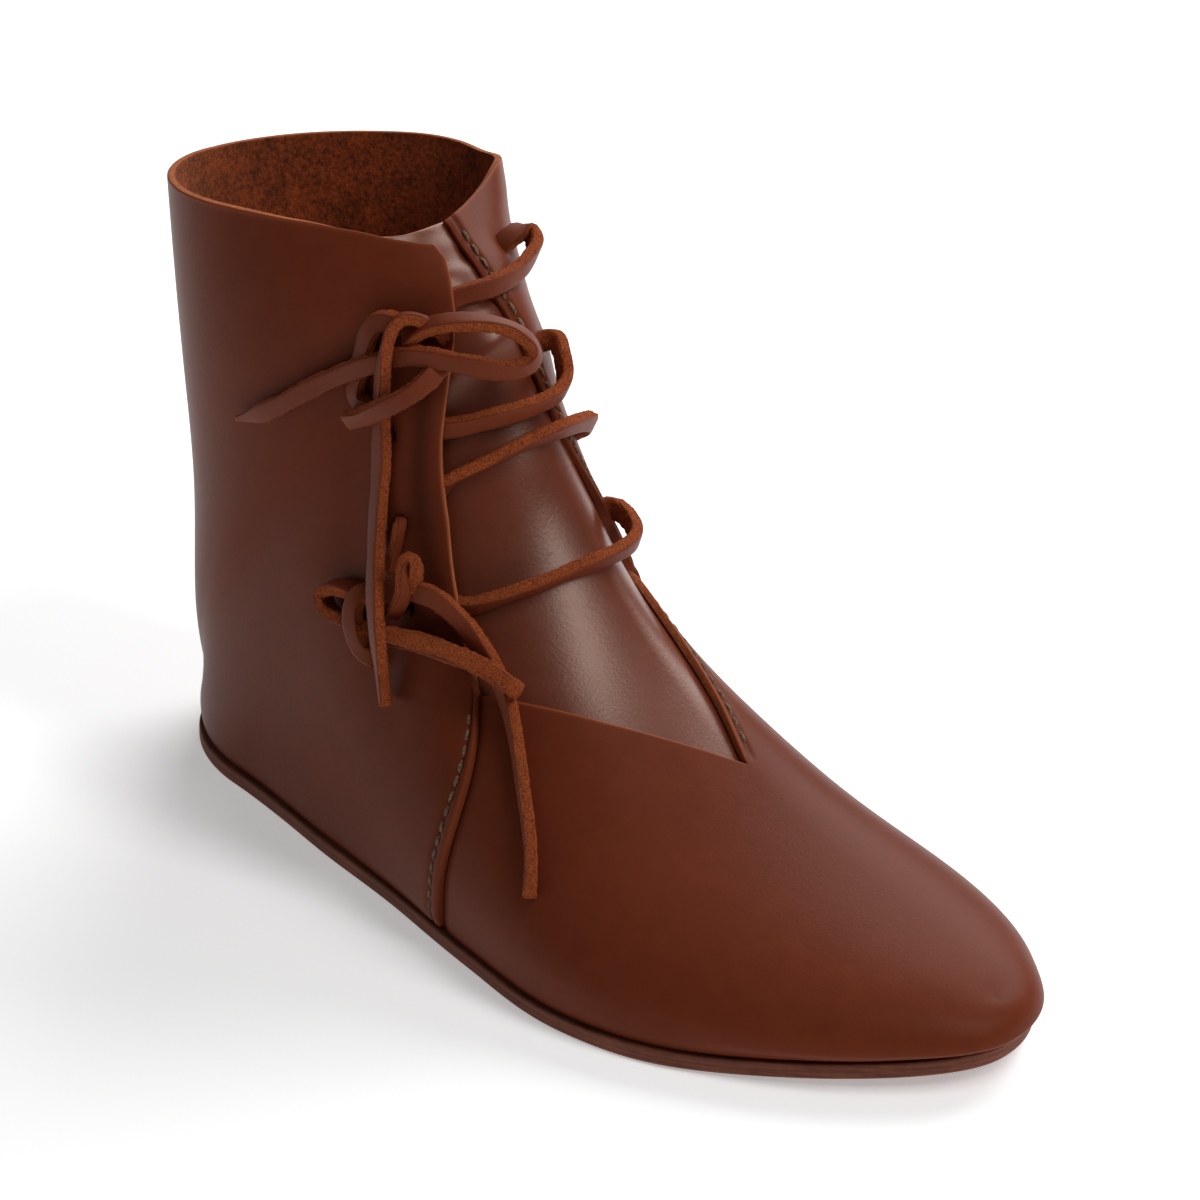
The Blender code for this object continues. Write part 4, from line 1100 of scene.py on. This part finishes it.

# %% [markdown]
# ### Knots, loops and ends
# Each thong is tied in half a bow. Every strand is a list of stops: section, place, height over the upper
# and roll. Loops stand on edge with the grain side outward.

# %% Strands of the two knots
# the solids that a strand stands for, its far end if it is a cord, its own sizes and its stops
STRANDS = {
    "upper_loop_thong": (("upper_loop", "upper_end_back"), "bare", {"tip": 12.0}, [
        (13.33, -0.23, 3, 40), (13.21, -0.184, 5, 45), (12.77, -0.129, 6, 48), (12.12, -0.081, 6.5, 48),
        (11.46, -0.046, 6.5, 48), (11.01, -0.029, 6.5, 46), (10.72, -0.034, 6.3, 42),
        (10.65, -0.058, 6, 36), (10.82, -0.095, 5.8, 28), (11.19, -0.135, 5.5, 22), (11.91, -0.182, 5, 16),
        (12.76, -0.228, 4.5, 12), (13.13, -0.269, 4.2, 10), (13.42, -0.312, 4.4, 8), (13.76, -0.394, 3, 6),
        (13.92, -0.477, 2.6, 4), (14.03, -0.55, 2.4, 2), (14.24, -0.619, 2.2, 0)]),
    "upper_wrap_thong": (("upper_end_down",), "bare", {}, [
        (12.7, -0.168, -2, -80), (13.32, -0.182, 3.6, -85), (13.94, -0.211, 6.8, -90),
        (13.94, -0.239, 8.2, -80), (13.28, -0.266, 7.8, -60), (12.7, -0.295, 5, -44),
        (11.99, -0.32, 2.6, -28), (11.11, -0.335, 2.4, -25), (10.51, -0.346, 2.4, -24),
        (9.97, -0.361, 2.6, -24), (9.54, -0.374, 3.6, -24), (9.15, -0.382, 6.6, -25),
        (8.85, -0.397, 7.8, -27), (8.58, -0.415, 7.4, -30), (8.4, -0.439, 5.2, -33),
        (8.27, -0.467, 2.8, -36)]),
    "upper_stub_thong": (("upper_knot",), "bare", {}, [
        (11.74, -0.188, 2.4, 20), (11.51, -0.217, 5, 22), (11.45, -0.252, 7.2, 25),
        (11.66, -0.298, 7.4, 25), (12.12, -0.345, 6.2, 20), (12.45, -0.379, 4.6, 15)]),
    "upper_tuck_thong": (("upper_knot",), None, {}, [
        (13.8, -0.228, 2, 30), (14.23, -0.248, 3, 20), (14.39, -0.281, 3.2, -10), (14.06, -0.311, 2.8, -25),
        (13.53, -0.336, 2, -25), (13.16, -0.355, 2, -25), (12.76, -0.36, 2, -25), (12.27, -0.341, 1.8, -20)]),
    "lower_rise_thong": (("lower_knot",), None, {"wide": 2.8, "thick": 2.4}, [
        (9.64, -0.346, -3, 80), (9.54, -0.335, 0, 80), (9.44, -0.336, 1.4, 80), (9.33, -0.348, 1.5, 80),
        (9.25, -0.362, 1.5, 80), (9.15, -0.38, 1.5, 80)]),
    "lower_ring_thong": (("lower_knot",), None, {"wide": 4.0, "thick": 2.8}, [
        (8.78, -0.395, 3, -60), (8.7, -0.365, 5, -60), (8.75, -0.344, 6.2, -62), (8.87, -0.334, 6.6, -66),
        (8.95, -0.325, 6.6, -72), (8.94, -0.315, 6.4, -78), (8.85, -0.313, 6, -80), (8.76, -0.322, 5, -80),
        (8.7, -0.337, 3.6, -80)]),
    "lower_back_thong": (("lower_loop_back",), "object", {}, [
        (9.14, -0.422, 2.2, -62), (9.29, -0.438, 2.6, -62), (9.48, -0.455, 3.2, -64),
        (9.66, -0.474, 3.6, -70), (9.77, -0.497, 3.6, -80), (9.7, -0.506, 3.6, -84),
        (9.51, -0.502, 3.4, -80), (9.3, -0.486, 3, -72), (9.05, -0.462, 2.6, -66), (8.92, -0.448, 2.2, -60)]),
    "lower_wrap_thong": (("lower_knot",), None, {}, [
        (9.23, -0.422, 3.5, 0), (9.25, -0.439, 4.8, 0), (9.15, -0.455, 5.2, 0), (8.98, -0.465, 4.8, 0),
        (8.83, -0.469, 3.4, 0), (8.68, -0.458, 2, 0)]),
    "lower_front_thong": (("lower_loop_front",), "object", {"fold": True, "wide": 4.3}, [
        (8.65, -0.416, 2.6, 0), (8.12, -0.349, 3.3, 0), (7.72, -0.308, 4, 0), (7.43, -0.283, 4.8, 0),
        (7.25, -0.271, 5.4, 0), (7.17, -0.266, 6.2, 0), (7.14, -0.264, 7.3, 0), (7.15, -0.265, 8.4, 0),
        (7.22, -0.269, 8.9, 0), (7.4, -0.279, 8.4, 0), (7.7, -0.302, 7.4, 0), (8.09, -0.339, 6.6, 0),
        (8.59, -0.399, 5.8, 0)]),
    "lower_end_thong": (("lower_end",), "bare", {}, [
        (8.71, -0.341, 2.5, -15), (8.63, -0.332, 3.4, -16), (8.44, -0.311, 4, -18), (8.18, -0.295, 4, -22),
        (7.92, -0.285, 4, -28), (7.67, -0.28, 3.9, -36), (7.47, -0.279, 3.7, -45), (7.23, -0.283, 3.3, -54),
        (7.05, -0.292, 3, -58), (6.84, -0.308, 2.7, -62), (6.45, -0.349, 2.4, -64),
        (6.13, -0.396, 2.2, -64), (5.93, -0.457, 2.2, -64)]),
}


# %% Tie the knots
def tie(name, nodes, far_end, shape, stops):
    s, w, height, roll = np.array(stops, float).T
    piece, path, length = make_thong(name, s, w, over_upper(s, w, height), roll, **shape)
    settle(piece, "thong_leather", *nodes)
    return length


for name, strand in STRANDS.items():
    print(name, round(tie(name, *strand), 4), "m")

# %% [markdown]
# ## Light
# A large soft lamp on the inner side lights the tops of vamp and toe and lets the outer side fall into a
# warm shade. A tall narrow one high in front of the toe draws the long highlight down the tongue, and a
# weak one fills in at the heel. The floor glows a little, as on a light table, so that shadows on it stay
# pale.

# %% Floor
floor_mesh = bpy.data.meshes.new("floor")
FLOOR_HALF = 4
corners = [(-1, -1), (1, -1), (1, 1), (-1, 1)]
floor_mesh.from_pydata([(FLOOR_HALF * x, FLOOR_HALF * y, 0) for x, y in corners], [], [(0, 1, 2, 3)])
paper = Finish("white_paper", Specular_IOR_Level=0.1, Roughness=0.9, Base_Color=(0.93, 0.93, 0.93, 1),
               Emission_Color=(1, 1, 1, 1), Emission_Strength=0.36)
floor_mesh.materials.append(paper.material)
put("floor", floor_mesh)


# %% Lamps and surround
def soft_lamp(name, place, target, wide, tall, power):
    """A flat lamp at place that looks at target."""
    data = bpy.data.lights.new(name, "AREA")
    data.shape = "RECTANGLE"
    data.size = wide
    data.size_y = tall
    data.energy = power
    put_aimed(name, data, place, target)


soft_lamp("inner_lamp", (-0.35, 1.34, 1.15), (0.0, 0.0, 0.06), wide=1.5, tall=1.3, power=31)
soft_lamp("toe_lamp", (0.95, 0.20, 1.24), (0.0, 0.0, 0.10), wide=0.36, tall=1.1, power=12)
soft_lamp("heel_lamp", (-1.1, -0.6, 0.7), (-0.05, 0.0, 0.08), wide=0.6, tall=0.6, power=0.6)
world = bpy.context.scene.world or bpy.data.worlds.new("surround")
bpy.context.scene.world = world
world.use_nodes = True
surround = world.node_tree.nodes["Background"]
surround.inputs["Color"].default_value = (1, 1, 1, 1)
surround.inputs["Strength"].default_value = 0.10
bpy.context.scene.view_settings.view_transform = "Standard"
